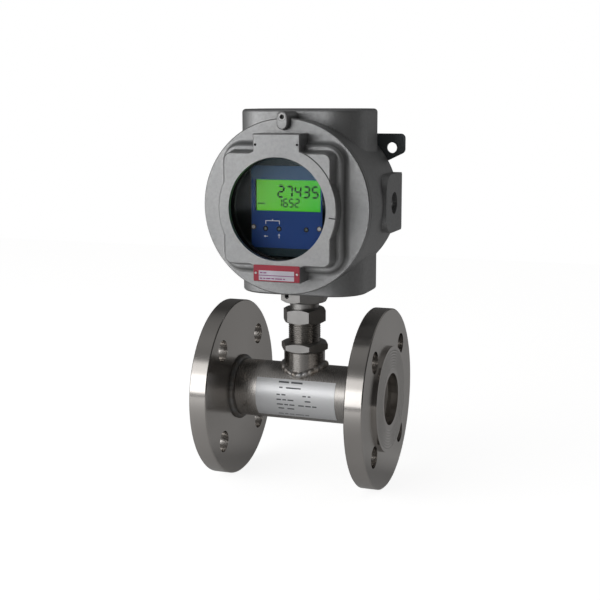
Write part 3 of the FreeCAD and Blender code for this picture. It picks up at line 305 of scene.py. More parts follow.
def cast_colour(tree, point, skin, grain):
    """Clouded grey with a darker skin and pale specks."""
    clouds = noise(tree, point, scale=28, detail=4, roughness=0.6)
    colour = blend(tree, clouds, grey(0.32, -0.03), grey(0.42, 0.006))
    colour = stain(tree, colour, skin, 0.35, grey(0.26, 0.01))
    specks = spread(tree, grain, 0, 1, start=0.62, end=0.75)
    return stain(tree, colour, specks, 0.35, grey(0.5, 0.01))


def cast_metal(name, shaded_insides=(), groove=False):
    """Blasted aluminium casting: fine grain and cast skin, insides painted dull black as shade, and the
    cover's groove with painted shade in it.
    """
    material, tree, shader = new_material(name)
    point = place(tree)
    skin = noise(tree, point, scale=420, detail=3, roughness=0.6)
    grain = noise(tree, point, scale=2300, detail=2, roughness=0.7)
    colour = cast_colour(tree, point, skin, grain)
    height = maths(tree, "ADD", grain, maths(tree, "MULTIPLY", skin, 0.8))
    rough = vary(tree, skin, 0.42, 0.56)
    metal = CAST_METALNESS
    if groove:
        line = cover_groove(tree)
        # Painted shade: the groove's line is coloured near black for the shade inside it.
        colour = blend(tree, line, colour, grey(0.06))
        height = maths(tree, "SUBTRACT", height, maths(tree, "MULTIPLY", line, 3))
    if shaded_insides:
        # Painted shade: the insides are dull black, rough and not metallic, where little light gets in.
        mask = chain(tree, "MAXIMUM", [shaded_inside_mask(tree, *inside) for inside in shaded_insides])
        colour = blend(tree, mask, colour, grey(0.012))
        rough = maths(tree, "MAXIMUM", rough, maths(tree, "MULTIPLY", mask, SHADED_INSIDE_ROUGHNESS))
        metal = spread(tree, mask, CAST_METALNESS, 0)
    normal = bump(tree, height, depth=0.17 * MM, strength=0.6)
    shade(tree, shader, Base_Color=colour, Roughness=rough, Metallic=metal, Normal=normal)
    return material


def socket_screw(name):
    """The clamp's screw: a cast-coloured head with painted shade, a near-black disc, for its socket."""
    material, tree, shader = new_material(name)
    painted_socket_shade = disc_mask(tree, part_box("clamp_screw"), SCREW_SOCKET_RADIUS)
    fine = noise(tree, place(tree), scale=1400, detail=3, roughness=0.6)
    head = blend(tree, fine, grey(0.36), grey(0.5))
    # Painted shade: the socket is a near-black disc for the shade inside the hex hole.
    colour = blend(tree, painted_socket_shade, head, grey(0.015))
    metal = spread(tree, painted_socket_shade, 0.8, 0.1)
    rough = spread(tree, fine, 0.4, 0.55)
    normal = bump(tree, fine, depth=0.05 * MM, strength=0.5)
    shade(tree, shader, Base_Color=colour, Roughness=rough, Metallic=metal, Normal=normal)
    return material


def turned_lines(tree, along, out, angle):
    """Noise drawn out into fine lines round an axis."""
    lines = {
        0: maths(tree, "MULTIPLY", along, LINES_PER_METRE),
        1: maths(tree, "MULTIPLY", out, LINES_PER_METRE),
        2: maths(tree, "MULTIPLY", angle, LINE_BREAKS_PER_RADIAN),
    }
    return noise(tree, put(tree, "CombineXYZ", lines), scale=1, detail=4, roughness=0.65)


def turned_steel(name, axis, centre, base, rough, serrated=False, drawn=False, metal=1.0):
    """Turned stainless steel: fine lines in tone, gloss and height. A drawn tube's highlight isn't turned."""
    material, tree, shader = new_material(name)
    along, out, angle = round_axis(tree, axis, centre)
    lines = turned_lines(tree, along, out, angle)
    clouds = noise(tree, place(tree), scale=45, detail=3, roughness=0.55)
    colour = blend(tree, lines, grey(base * 0.94, 0.05), grey(base * 1.04, 0.04))
    colour = stain(tree, colour, clouds, 0.3, grey(base * 0.78, 0.07))
    normal = bump(tree, lines, depth=0.02 * MM, strength=0.5)
    if serrated:
        rings = serration(tree, along, out)
        # Painted highlight on the serration's crests and painted shade in its troughs.
        painted_crest_highlight = spread(tree, rings, 0, 0.5, start=0, end=0.5)
        painted_trough_shade = spread(tree, rings, 0.5, 0, start=-0.5, end=0)
        normal = bump(tree, rings, depth=0.3 * MM, strength=1, normal=normal)
        colour = blend(tree, painted_crest_highlight, colour, grey(base * 1.5, 0.03))
        colour = blend(tree, painted_trough_shade, colour, grey(base * 0.4, 0.03))
    shine = vary(tree, lines, *rough)
    tangent = put(tree, "Tangent", direction_type="RADIAL", axis="XYZ"[axis])
    shade(tree, shader, Base_Color=colour, Roughness=shine, Metallic=metal, Normal=normal)
    shade(tree, shader, Anisotropic=0.8, Anisotropic_Rotation=0 if drawn else ACROSS_LINES)
    shade(tree, shader, Tangent=tangent)
    return material


def plain_steel(name, base, rough, warmth=0.02):
    """Milled steel with faint scratches."""
    material, tree, shader = new_material(name)
    point = place(tree)
    stretched = put(tree, "Mapping", {"Vector": point, "Scale": SCRATCH_SCALE})
    scratch = noise(tree, stretched, scale=1, detail=3, roughness=0.6)
    clouds = noise(tree, point, scale=120, detail=3, roughness=0.5)
    colour = blend(tree, clouds, grey(base * 0.85, warmth), grey(base * 1.08, warmth))
    shine = vary(tree, scratch, *rough)
    normal = bump(tree, scratch, depth=0.02 * MM, strength=0.4)
    shade(tree, shader, Base_Color=colour, Roughness=shine, Metallic=1.0, Normal=normal)
    return material


def weld_metal(name, level=1.0):
    """Weld bead: grey with straw and blue heat tints, pitted. A lower level gives a darker copy, used as
    painted shade.
    """
    material, tree, shader = new_material(name)
    point = place(tree)
    tint = spread(tree, noise(tree, point, scale=160, detail=3, roughness=0.6), 0, 1, start=0.35, end=0.65)
    pits = noise(tree, point, scale=1500, detail=3, roughness=0.6)
    colour = blend(tree, tint, grey(0.46 * level, 0.10), grey(0.56 * level, -0.03))
    colour = stain(tree, colour, pits, 0.4, grey(0.16, 0.1))
    shine = vary(tree, pits, 0.4, 0.58)
    normal = bump(tree, pits, depth=0.1 * MM, strength=0.6)
    shade(tree, shader, Base_Color=colour, Roughness=shine, Metallic=1.0, Normal=normal)
    return material


def coated(name, colour, rough=0.45, metal=0.0, grain=900, coat=0.0, gloss=0.5):
    """Paint, plastic or rubber with a fine even texture and slight tone changes."""
    material, tree, shader = new_material(name)
    point = place(tree)
    fine = noise(tree, point, scale=grain, detail=3, roughness=0.6)
    clouds = noise(tree, point, scale=60, detail=2, roughness=0.5)
    light = tuple(min(1, part * 1.25 + 0.004) for part in colour) + (1,)
    dark = tuple(part * 0.8 for part in colour) + (1,)
    tone = blend(tree, clouds, dark, light)
    shine = vary(tree, fine, rough * 0.85, min(1, rough * 1.15))
    normal = bump(tree, fine, depth=0.04 * MM, strength=0.5)
    shade(tree, shader, Base_Color=tone, Roughness=shine, Metallic=metal, Normal=normal)
    shade(tree, shader, Coat_Weight=coat, Specular_IOR_Level=gloss)
    return material


def ringed(name, boxes, middle_colour, ring_colour, share, metal=0.0):
    """Small round parts: a middle of one colour, out to a share of the radius, and a ring of another."""
    material, tree, shader = new_material(name)
    fine = noise(tree, place(tree), scale=1600, detail=2, roughness=0.6)
    discs = [disc_mask(tree, (low, high), (high.x - low.x) / 2 * share) for low, high in boxes]
    colour = blend(tree, chain(tree, "MAXIMUM", discs), ring_colour, middle_colour)
    colour = stain(tree, colour, fine, 0.3, ring_colour)
    normal = bump(tree, fine, depth=0.03 * MM, strength=0.4)
    shade(tree, shader, Base_Color=colour, Roughness=0.35, Metallic=metal, Normal=normal)
    return material


def ends_of(node):
    """Boxes of a left and a right round part that make one node."""
    low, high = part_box(node)
    size = high.z - low.z
    left = (low, Vector((low.x + size, high.y, high.z)))
    right = (Vector((high.x - size, low.y, low.z)), high)
    return left, right


def foil_print(name):
    """The blue panel print: a paler steel-blue band above the display, deep blue below."""
    material, tree, shader = new_material(name)
    point = place(tree)
    _, _, up = parts_of(tree, point)
    fine = noise(tree, point, scale=1400, detail=2, roughness=0.6)
    display_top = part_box("lcd")[1].z
    height = spread(tree, up, 0, 1, start=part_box("front_foil")[0].z, end=display_top)
    band = spread(tree, up, 0, 1, start=display_top, end=display_top + FOIL_BAND_EDGE)
    colour = blend(tree, height, FOIL_FOOT, FOIL_TOP)
    colour = blend(tree, band, colour, FOIL_BAND)
    colour = stain(tree, colour, fine, 0.12, FOIL_FLECK)
    normal = bump(tree, fine, depth=0.03 * MM, strength=0.4)
    shade(tree, shader, Base_Color=colour, Roughness=0.42, Normal=normal, Specular_IOR_Level=BEHIND_GLASS)
    return material


def display_green(name):
    """The backlit display: yellow-green to the left, cooler green to the right, a faint dot mesh."""
    material, tree, shader = new_material(name)
    point = place(tree)
    across, _, up = parts_of(tree, point)
    low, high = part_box("lcd")
    side = spread(tree, across, 0, 1, start=low.x, end=high.x)
    clouds = noise(tree, point, scale=90, detail=2, roughness=0.5)
    colour = blend(tree, side, LCD_LEFT, LCD_RIGHT)
    colour = stain(tree, colour, clouds, 0.25, LCD_CLOUD)
    rows = sine_wave(tree, up, LCD_DOT_PITCH)
    columns = sine_wave(tree, across, LCD_DOT_PITCH)
    dots = maths(tree, "ABSOLUTE", maths(tree, "MULTIPLY", rows, columns))
    colour = stain(tree, colour, dots, 0.06, LCD_DOT)
    shade(tree, shader, Base_Color=colour, Roughness=0.25, Specular_IOR_Level=BEHIND_GLASS)
    shade(tree, shader, Emission_Color=colour, Emission_Strength=LCD_GLOW)
    return material


def window_glass(name):
    """Clear glass: what is behind it shows, and its surface mirrors more at a glancing angle."""
    material, tree, shader = new_material(name)
    smear = noise(tree, place(tree), scale=70, detail=3, roughness=0.6)
    edge = maths(tree, "MULTIPLY", put(tree, "Fresnel", {"IOR": GLASS_IOR}), GLASS_MIRROR)
    alpha = maths(tree, "ADD", edge, maths(tree, "MULTIPLY", smear, GLASS_SMEAR))
    rough = spread(tree, smear, 0.02, 0.05)
    shade(tree, shader, Base_Color=GLASS_TINT, Metallic=1.0, Roughness=rough, Alpha=alpha)
    return material


def label_film(name):
    """The metallised sticker: silver-white with a soft sheen and a fine brushed look."""
    material, tree, shader = new_material(name)
    stretched = put(tree, "Mapping", {"Vector": place(tree), "Scale": BRUSHED_SCALE})
    lines = noise(tree, stretched, scale=1, detail=3, roughness=0.6)
    colour = blend(tree, lines, FILM_DARK, FILM_LIGHT)
    shine = spread(tree, lines, 0.3, 0.42)
    normal = bump(tree, lines, depth=0.01 * MM, strength=0.4)
    shade(tree, shader, Base_Color=colour, Roughness=shine, Metallic=0.35, Normal=normal)
    return material


def heat_blued(name):
    """Dark blued plate, worn brighter along its edges."""
    material, tree, shader = new_material(name)
    point = place(tree)
    fine = noise(tree, point, scale=1100, detail=3, roughness=0.6)
    clouds = noise(tree, point, scale=90, detail=3, roughness=0.5)
    edge = put(tree, "NewGeometry", output="Pointiness")
    worn = spread(tree, edge, 0, 0.6, start=0.52, end=0.6)
    colour = blend(tree, clouds, LUG_DARK, LUG_LIGHT)
    colour = stain(tree, colour, worn, fine, grey(0.3))
    shine = spread(tree, fine, 0.34, 0.5)
    normal = bump(tree, fine, depth=0.03 * MM, strength=0.5)
    shade(tree, shader, Base_Color=colour, Roughness=shine, Metallic=0.5, Normal=normal)
    return material


# ---------------------------------------------------------------------------------------------
# Finishes of the CAD nodes
# ---------------------------------------------------------------------------------------------

# Insides painted dull black as shade, where little light gets in, as (radius, front, back) about the drum's
# axis
HOUSING_SHADED_INSIDE = (61.2 * MM, -60 * MM, 44.2 * MM)
COVER_SHADED_INSIDES = ((46.5 * MM, COVER_Y + 4.4 * MM, 0), (52.2 * MM, -41.3 * MM, 0))

BUTTONS = ("button_left", "button_middle", "button_right")
BUTTON_GREEN = (0.085, 0.13, 0.11, 1)

MATERIALS = {
    "cast": cast_metal("cast_aluminium_skin", shaded_insides=[HOUSING_SHADED_INSIDE]),
    "cover": cast_metal("cast_cover_skin", shaded_insides=COVER_SHADED_INSIDES, groove=True),
    "clamp": cast_metal("cast_clamp_skin"),
    "flange": turned_steel("turned_flange_steel", 0, PIPE_CENTRE, 0.50, (0.16, 0.24), serrated=True),
    "pipe": turned_steel("drawn_pipe_steel", 0, PIPE_CENTRE, 0.43, (0.25, 0.3), drawn=True),
    "inner": turned_steel("machined_inner_steel", 0, PIPE_CENTRE, 0.75, (0.3, 0.45), metal=0.5),
    "stem": turned_steel("turned_stem_steel", 2, STEM_CENTRE, 0.36, (0.22, 0.34)),
    "ring": turned_steel("turned_ring_steel", 1, DRUM_CENTRE, 0.06, (0.4, 0.5)),
    "nut": plain_steel("milled_nut_steel", 0.38, (0.3, 0.45)),
    "screw": plain_steel("screw_steel", 0.5, (0.25, 0.4)),
    "rotor": plain_steel("rotor_blade_steel", 0.4, (0.25, 0.4)),
    "carbide": plain_steel("ground_carbide", 0.18, (0.15, 0.25), warmth=-0.02),
    "pillar": plain_steel("plated_brass", 0.5, (0.2, 0.3), warmth=0.3),
    "weld": weld_metal("weld_bead_metal"),
    # Painted shade: a darker copy of the weld metal for the beads in the corners between the flanges and the
    # tube.
    "shaded_weld": weld_metal("weld_bead_metal_painted_shade", level=0.45),
    "socket": socket_screw("clamp_screw_steel"),
    "black": coated("black_oxide", (0.02, 0.02, 0.022), rough=0.4, metal=0.5),
    "lug": heat_blued("blued_lug_plate"),
    "rubber": coated("black_rubber", (0.012, 0.012, 0.012), rough=0.7, grain=1500),
    "tag": coated("tag_pale_metal", (0.56, 0.53, 0.6), rough=0.4, metal=0.2),
    "red": coated("tag_red_print", (0.40, 0.014, 0.04), rough=0.4),
    "violet": coated("tag_violet_print", (0.28, 0.06, 0.22)),
    "module": coated("module_teal_plastic", (0.014, 0.034, 0.044), rough=0.5, gloss=BEHIND_GLASS),
    "foil": foil_print("panel_blue_print"),
    "lcd": display_green("display_green"),
    "digit": coated("display_segments", (0.002, 0.010, 0.003), rough=0.4, gloss=BEHIND_GLASS),
    "white": coated("panel_white_print", (0.72, 0.77, 0.82)),
    "board": coated("board_green_mask", (0.012, 0.1, 0.03), rough=0.35, coat=0.3),
    "coil": coated("potted_coil", (0.03, 0.03, 0.032), rough=0.5),
    "label": label_film("label_silver_film"),
    "ink": coated("label_grey_ink", (0.10, 0.11, 0.12), rough=0.5),
    # Painted shade: the panel screws' near-black ring stands for the shadow round each head.
    "panel_screw": ringed(
        "panel_screw_steel", ends_of("panel_screws"), grey(0.34), grey(0.03), share=0.68, metal=0.7
    ),
    "button": ringed(
        "button_dark_plastic", [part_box(node) for node in BUTTONS], BUTTON_GREEN, grey(0.006), share=0.55
    ),
    "glass": window_glass("window_clear_glass"),
}

FINISHES = {
    "cast": ["housing"],
    "cover": ["cover"],
    "clamp": ["cover_clamp"],
    "socket": ["clamp_screw"],
    "flange": ["inlet_flange", "outlet_flange"],
    "pipe": ["meter_tube"],
    "inner": ["inlet_support", "outlet_support", "retaining_rings", "rotor_shaft", "thrust_washers"],
    "rotor": ["rotor"],
    "carbide": ["rotor_bush"],
    "stem": ["sensor_collar", "threaded_sleeve"],
    "nut": ["lock_nut", "union_nut", "swivel_adaptor"],
    "screw": ["lug_screws", "tag_rivets"],
    "panel_screw": ["panel_screws"],
    "weld": ["flange_welds", "collar_weld"],
    "black": ["grub_screw"],
    "lug": ["mounting_lugs"],
    "ring": ["glass_ring"],
    "rubber": ["window_seal", "cover_seal"],
    "red": ["tag_plate"],
    "module": ["display_module"],
    "foil": ["front_foil"],
    "lcd": ["lcd"],
    "board": ["circuit_board"],
    "pillar": ["board_pillars"],
    "coil": ["pickup_coil"],
    "label": ["tube_label"],
    "button": BUTTONS,
    "glass": ["window_glass"],
}

for finish, nodes in FINISHES.items():
    for node in nodes:
        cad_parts[node].data.materials.clear()
        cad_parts[node].data.materials.append(MATERIALS[finish])


# ---------------------------------------------------------------------------------------------
# Mesh helpers
# ---------------------------------------------------------------------------------------------


def mesh_piece(name, points, faces, finish, body, smooth=False):
    """A mesh piece in the row frame that rides on a body."""
    mesh = bpy.data.meshes.new(name)
    mesh.from_pydata([tuple(point) for point in points], [], faces)
    mesh.update()
    mesh.materials.append(MATERIALS[finish])
    if smooth:
        mesh.shade_smooth()
    piece = bpy.data.objects.new(name, mesh)
    bpy.context.scene.collection.objects.link(piece)
    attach(piece, body)
    return piece


def grid_faces(rows, columns):
    """Quads over a grid whose rows and columns both close on themselves."""
    faces = []
    for row in range(rows):
        following = (row + 1) % rows
        for column in range(columns):
            beside = (column + 1) % columns
            faces.append(
                (
                    row * columns + column,
                    row * columns + beside,
                    following * columns + beside,
                    following * columns + column,
                )
            )
    return faces


def flat_shapes(name, outlines, to_point, depth, finish, body):
    """Thin plates from outlines in a surface's own two directions, all in one mesh."""
    points, faces = [], []
    for outline in outlines:
        first, count = len(points), len(outline)
        points += [to_point(across, up, depth) for across, up in outline]
        points += [to_point(across, up, 0) for across, up in outline]
        faces.append(tuple(range(first, first + count)))
        faces.append(tuple(range(first + 2 * count - 1, first + count - 1, -1)))
        for step in range(count):
            beside = (step + 1) % count
            faces.append((first + step, first + count + step, first + count + beside, first + beside))
    return mesh_piece(name, points, faces, finish, body)


def facing(level):
    """A map from (across, up) millimetres about the drum's middle to a plane that looks along -Y."""

    def to_point(across, up, depth):
        return Vector((PIPE_X + across * MM, level - depth, DRUM_Z + up * MM))

    return to_point


def bar(left, right, low, high):
    """A rectangle's corners."""
    return [(left, low), (right, low), (right, high), (left, high)]


# ---------------------------------------------------------------------------------------------
# Thread and weld beads
# ---------------------------------------------------------------------------------------------

THREAD_PITCH = 1.75 * MM
THREAD_DEPTH = 0.95 * MM
THREAD_RUNOUT = 3.2 * MM
THREAD_FLANK = 2.6
THREAD_CREST = 0.15
SLEEVE_WALL = 4 * MM
SLEEVE_COLUMNS = 96
ROWS_PER_PITCH = 10

BEAD_SIDES = 14
BEAD_DROP = 0.3
BEAD_UNEVEN = 0.03
COLLAR_BEAD = 3.1 * MM
COLLAR_BLOBS = 24
COLLAR_RELIEF = 0.15
COLLAR_SEAT = 0.2 * MM
STEPS_PER_BLOB = 12
FLANGE_BEAD = 2.9 * MM
FLANGE_RIPPLES = 44
FLANGE_RELIEF = 0.05
FLANGE_GAP = 0.5 * MM
TUBE_GAP = 0.6 * MM
STEPS_PER_RIPPLE = 8


def thread_cut(level, top, share):
    """How deep the thread is cut at a level and a share of a turn. It runs out below the top."""
    phase = (level / THREAD_PITCH - share) % 1
    flank = min(1, max(0, THREAD_FLANK * abs(phase - 0.5) - THREAD_CREST))
    runout = min(1, max(0, (top - THREAD_RUNOUT - level) / THREAD_PITCH))
    return THREAD_DEPTH * (flank * runout)


def stem_ring(level, radii):
    """A ring of points about the stem's axis, one for each radius."""
    points = []
    for column, radius in enumerate(radii):
        turn = 2 * math.pi * column / SLEEVE_COLUMNS
        points.append((PIPE_X + radius * math.cos(turn), radius * math.sin(turn), level))
    return points


def sleeve_thread():
    """The sleeve with a real helical thread on its outside, and its plain bore."""
    low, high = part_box("threaded_sleeve")
    outer = high.y
    shares = [column / SLEEVE_COLUMNS for column in range(SLEEVE_COLUMNS)]
    rows = int((high.z - low.z) / (THREAD_PITCH / ROWS_PER_PITCH))
    points = []
    for row in range(rows + 1):
        level = low.z + (high.z - low.z) * row / rows
        points += stem_ring(level, [outer - thread_cut(level, high.z, share) for share in shares])
    for level in (high.z, low.z):
        points += stem_ring(level, [outer - SLEEVE_WALL] * SLEEVE_COLUMNS)
    faces = grid_faces(rows + 3, SLEEVE_COLUMNS)
    piece = mesh_piece("sleeve_thread", points, faces, "stem", "meter_body", smooth=True)
    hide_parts("threaded_sleeve")


def bead_swell(share, ripples, relief):
    """A bead's thickness at a share of its length: ripples that drop steeply, and slow unevenness."""
    ripple = (share * ripples) % 1
    swell = 1 + relief * (math.sin(math.pi * ripple) - BEAD_DROP * ripple)
    slow = math.sin(7 * 2 * math.pi * share + 1)
    quick = math.sin(17 * 2 * math.pi * share)
    return swell * (1 + BEAD_UNEVEN * slow + BEAD_UNEVEN * quick)


def bead_mesh(name, path, ripples, size, relief, finish):
    """A rippled weld bead along a closed path of (centre, outward, upward) frames."""
    count = len(path)
    points = []
    for index, (centre, out, up) in enumerate(path):
        radius = size * bead_swell(index / count, ripples, relief)
        for side in range(BEAD_SIDES):
            turn = 2 * math.pi * side / BEAD_SIDES
            points.append(centre + out * radius * math.cos(turn) + up * radius * math.sin(turn))
    faces = grid_faces(count, BEAD_SIDES)
    return mesh_piece(name, points, faces, finish, "meter_body", smooth=True)


def collar_bead():
    """The bead that follows the saddle between the collar and the tube."""
    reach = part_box("sensor_collar")[1].y - COLLAR_SEAT
    steps = COLLAR_BLOBS * STEPS_PER_BLOB
    path = []
    for step in range(steps):
        turn = 2 * math.pi * step / steps
        out = Vector((math.cos(turn), math.sin(turn), 0))
        side = reach * math.sin(turn)
        level = math.sqrt(TUBE_RADIUS**2 - side**2) + COLLAR_SEAT
        centre = Vector((PIPE_X + reach * math.cos(turn), side, level))
        skin = Vector((0, side, level)).normalized()
        path.append((centre, out, (skin + Vector((0, 0, 1))).normalized()))
    piece = bead_mesh("collar_weld_bead", path, COLLAR_BLOBS, COLLAR_BEAD, COLLAR_RELIEF, "weld")
    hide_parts("collar_weld")


def flange_bead(name, level):
    """A bead round the tube at a level along it."""
    steps = FLANGE_RIPPLES * STEPS_PER_RIPPLE
    along = Vector((1, 0, 0))
    path = []
    for step in range(steps):
        turn = 2 * math.pi * step / steps
        out = Vector((0, math.cos(turn), math.sin(turn)))
        path.append((along * level + out * (TUBE_RADIUS + TUBE_GAP), out, along))
    # Painted shade: the flange beads take the darker weld copy for the corner's shade.
    piece = bead_mesh(name, path, FLANGE_RIPPLES, FLANGE_BEAD, FLANGE_RELIEF, "shaded_weld")
    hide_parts("flange_welds")


# ---------------------------------------------------------------------------------------------
# Display, panel prints, tag and label, in millimetres
# ---------------------------------------------------------------------------------------------

SEGMENTS = {
    "0": "abcdef",
    "1": "bc",
    "2": "abged",
    "3": "abgcd",
    "4": "fgbc",
    "5": "afgcd",
    "6": "afgedc",
    "7": "abc",
    "8": "abcdefg",
    "9": "abcfgd",
}
SEGMENT_GAP = 0.12  # as a share of its thickness
DIGIT_LEAN = 0.06

UPPER_READING = {"left": -7.2, "low": 7.9, "width": 4.5, "height": 8.4, "pitch": 7.15, "thick": 1.5}
LOWER_READING = {"left": -7.6, "low": 0.2, "width": 3.2, "height": 6.2, "pitch": 4.9, "thick": 1.1}
# Small bars on the display, as (left, right, low, high) about the drum's middle
DISPLAY_MARKS = (
    (-24.5, -18.2, 2.0, 2.9),
    (-23.6, -22.8, 18.3, 19.1),
    (20.4, 21.6, 17.6, 18.0),
    (-6.4, -3.2, 17.6, 18.0),
)
DISPLAY_SHADE = 0.8  # the width of the painted shadow that the recess casts along the display's left edge

BRACKET_LEFT, BRACKET_RIGHT = -17.4, -5.8
BRACKET_LOW, BRACKET_HIGH = -13.8, -11.1
BRACKET_HALF = 0.25
BRACKET_TICK = (-11.85, -11.35)
BRACKET_TICK_REACH = 1.4
# Each arrow is a shaft, as (left, right, low, high), and a head of three corners
LEFT_ARROW = ((-18.2, -15.6, -23.9, -23.4), [(-19.2, -23.65), (-17.7, -24.6), (-17.7, -22.7)])
UP_ARROW = ((-6.35, -5.85, -25.0, -22.6), [(-6.1, -21.2), (-7.1, -22.8), (-5.1, -22.8)])

TAG_END = 4.4
TAG_HEAD = 4.3
TAG_FOOT = 0.8
TAG_RULE_HALF = 0.3
TAG_ROW_HEIGHT = 0.9
TAG_UPPER_LIFT = 1.6
TAG_LOWER_LIFT = 1.0
# Greeked words, as (start, end) from the fields' left end
TAG_UPPER_WORDS = ((1.0, 3.2), (3.9, 6.4))
TAG_LOWER_WORDS = ((1.0, 3.0), (3.8, 5.6), (6.3, 9.8), (10.6, 13.0), (13.8, 19.6), (20.4, 22.0))

# Rows on the label, as (degrees up from its middle, height in degrees, words as (start, end) along it)
LABEL_ROWS = (
    (30, 3.4, ((20, 29), (31, 41))),
    (19, 2.6, ((21, 24), (27, 40))),
    (5, 2.6, ((19, 22), (23.4, 27), (42, 45), (46.6, 49))),
    (-5, 2.6, ((19, 23), (24.2, 27.6), (28.8, 34), (44, 49))),
    (-15, 2.6, ((19, 24.4), (25.6, 29), (30.2, 34.6), (38, 43), (44.2, 49), (50.2, 54))),
    (-24, 2.6, ((20, 25), (28, 34))),
    (-39, 1.8, ((19, 23.4), (24.4, 27.6), (28.8, 33), (34, 41.6), (42.6, 46))),
)
CURVE_STEP = 4  # degrees of the tube's curve to one flat field

DIGIT_DEPTH = 0.06 * MM
PANEL_PRINT_DEPTH = 0.05 * MM
TAG_FIELD_DEPTH = 0.05 * MM
TAG_ROW_DEPTH = 0.09 * MM
LABEL_PRINT_DEPTH = 0.02 * MM


def segment(letter, left, low, width, height, thick):
    """One display segment as a bar with pointed ends."""
    half, gap = thick / 2, thick * SEGMENT_GAP
    right, high, centre = left + width, low + height, low + height / 2
    ends = {
        "a": ((left, high), (right, high)),
        "g": ((left, centre), (right, centre)),
        "d": ((left, low), (right, low)),
        "f": ((left, centre), (left, high)),
        "b": ((right, centre), (right, high)),
        "e": ((left, low), (left, centre)),
        "c": ((right, low), (right, centre)),
    }
    (x0, z0), (x1, z1) = ends[letter]
    if x0 == x1:
        low_end, high_end = z0 + gap, z1 - gap
        return [
            (x0, low_end),
            (x0 + half, low_end + half),
            (x0 + half, high_end - half),
            (x0, high_end),
            (x0 - half, high_end - half),
            (x0 - half, low_end + half),
        ]
    left_end, right_end = x0 + gap, x1 - gap
    return [
        (left_end, z0),
        (left_end + half, z0 - half),
        (right_end - half, z0 - half),
        (right_end, z0),
        (right_end - half, z0 + half),
        (left_end + half, z0 + half),
    ]


def reading(digits, left, low, width, height, pitch, thick):
    """A row of plain seven-segment numbers that lean a little."""
    shapes = []
    for index, digit in enumerate(digits):
        for letter in SEGMENTS[digit]:
            outline = segment(letter, left + index * pitch, low, width, height, thick)
            shapes.append([(across + DIGIT_LEAN * (up - low), up) for across, up in outline])
    return shapes


def display_digits():
    """Two rows of plain numbers, small marks, and a painted shadow of the recess along the display's left
    edge.
    """
    low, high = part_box("lcd")
    left = (low.x - PIPE_X) / MM
    # Painted shadow: a near-black bar where the recess shades the display's left edge.
    edge = (left, left + DISPLAY_SHADE, (low.z - DRUM_Z) / MM, (high.z - DRUM_Z) / MM)
    shapes = reading("27435", **UPPER_READING)
    shapes += reading("1652", **LOWER_READING)
    shapes += [bar(*mark) for mark in DISPLAY_MARKS + (edge,)]
    flat_shapes("display_digits", shapes, facing(LCD_Y), DIGIT_DEPTH, "digit", "head")


def panel_marks():
    """White print on the panel: a bracket that joins two buttons, and an arrow under each."""
    half, top = BRACKET_HALF, BRACKET_HIGH + BRACKET_HALF
    shapes = [
        bar(BRACKET_LEFT - half, BRACKET_LEFT + half, BRACKET_LOW, top),
        bar(BRACKET_RIGHT - half, BRACKET_RIGHT + half, BRACKET_LOW, top),
        bar(BRACKET_LEFT + half, BRACKET_RIGHT - half, BRACKET_HIGH - half, top),
        bar(*BRACKET_TICK, top, BRACKET_HIGH + BRACKET_TICK_REACH),
    ]
    for shaft, head in (LEFT_ARROW, UP_ARROW):
        shapes += [bar(*shaft), head]
    flat_shapes("panel_marks", shapes, facing(PANEL_Y), PANEL_PRINT_DEPTH, "white", "head")


def tag_print():
    """Plain fields on the tag: red all round, two pale fields with greeked violet rows and a rule."""
    low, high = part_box("tag_plate")
    inner = (high.x - low.x) / 2 / MM - TAG_END
    field_top = (high.z - DRUM_Z) / MM - TAG_HEAD
    field_low = (low.z - DRUM_Z) / MM + TAG_FOOT
    centre = (field_top + field_low) / 2
    rule_low, rule_high = centre - TAG_RULE_HALF, centre + TAG_RULE_HALF
    fields = [bar(-inner, inner, rule_high, field_top), bar(-inner, inner, field_low, rule_low)]
    rows = [bar(-inner, inner, rule_low, rule_high)]
    upper = (centre + TAG_UPPER_LIFT, TAG_UPPER_WORDS)
    lower = (field_low + TAG_LOWER_LIFT, TAG_LOWER_WORDS)
    for level, words in (upper, lower):
        for start, end in words:
            rows.append(bar(-inner + start, -inner + end, level, level + TAG_ROW_HEIGHT))
    flat_shapes("tag_pale_fields", fields, facing(TAG_Y), TAG_FIELD_DEPTH, "tag", "cover")
    flat_shapes("tag_rows", rows, facing(TAG_Y), TAG_ROW_DEPTH, "violet", "cover")


def patch(start, end, low, high):
    """A field on the tube, cut in steps round it so that it follows the curve."""
    steps = max(1, round((high - low) / CURVE_STEP))
    size = (high - low) / steps
    return [bar(start, end, low + step * size, low + (step + 1) * size) for step in range(steps)]


def label_print():
    """Greeked rows of print on the sticker, laid round the tube; the maker's place is bare."""
    low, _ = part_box("tube_label")
    radius = -low.y
    left = low.x

    def to_point(across, turn, depth):
        angle = math.radians(turn)
        out = radius + depth
        return Vector((left + across * MM, -out * math.cos(angle), out * math.sin(angle)))

    shapes = []
    for turn, tall, words in LABEL_ROWS:
        for start, end in words:
            shapes += patch(start, end, turn - tall / 2, turn + tall / 2)
    flat_shapes("label_rows", shapes, to_point, LABEL_PRINT_DEPTH, "ink", "meter_body")


sleeve_thread()
collar_bead()
flange_bead("inlet_weld_bead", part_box("inlet_flange")[1].x + FLANGE_GAP)
flange_bead("outlet_weld_bead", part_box("outlet_flange")[0].x - FLANGE_GAP)
display_digits()
panel_marks()
tag_print()
label_print()


# ---------------------------------------------------------------------------------------------
# Studio: floor, world, lamps and camera
# ---------------------------------------------------------------------------------------------

FLOOR_REACH = 1.4
FLOOR_GLOW = 0.86
KEY_SIDE = (-0.83, -0.56, 0)

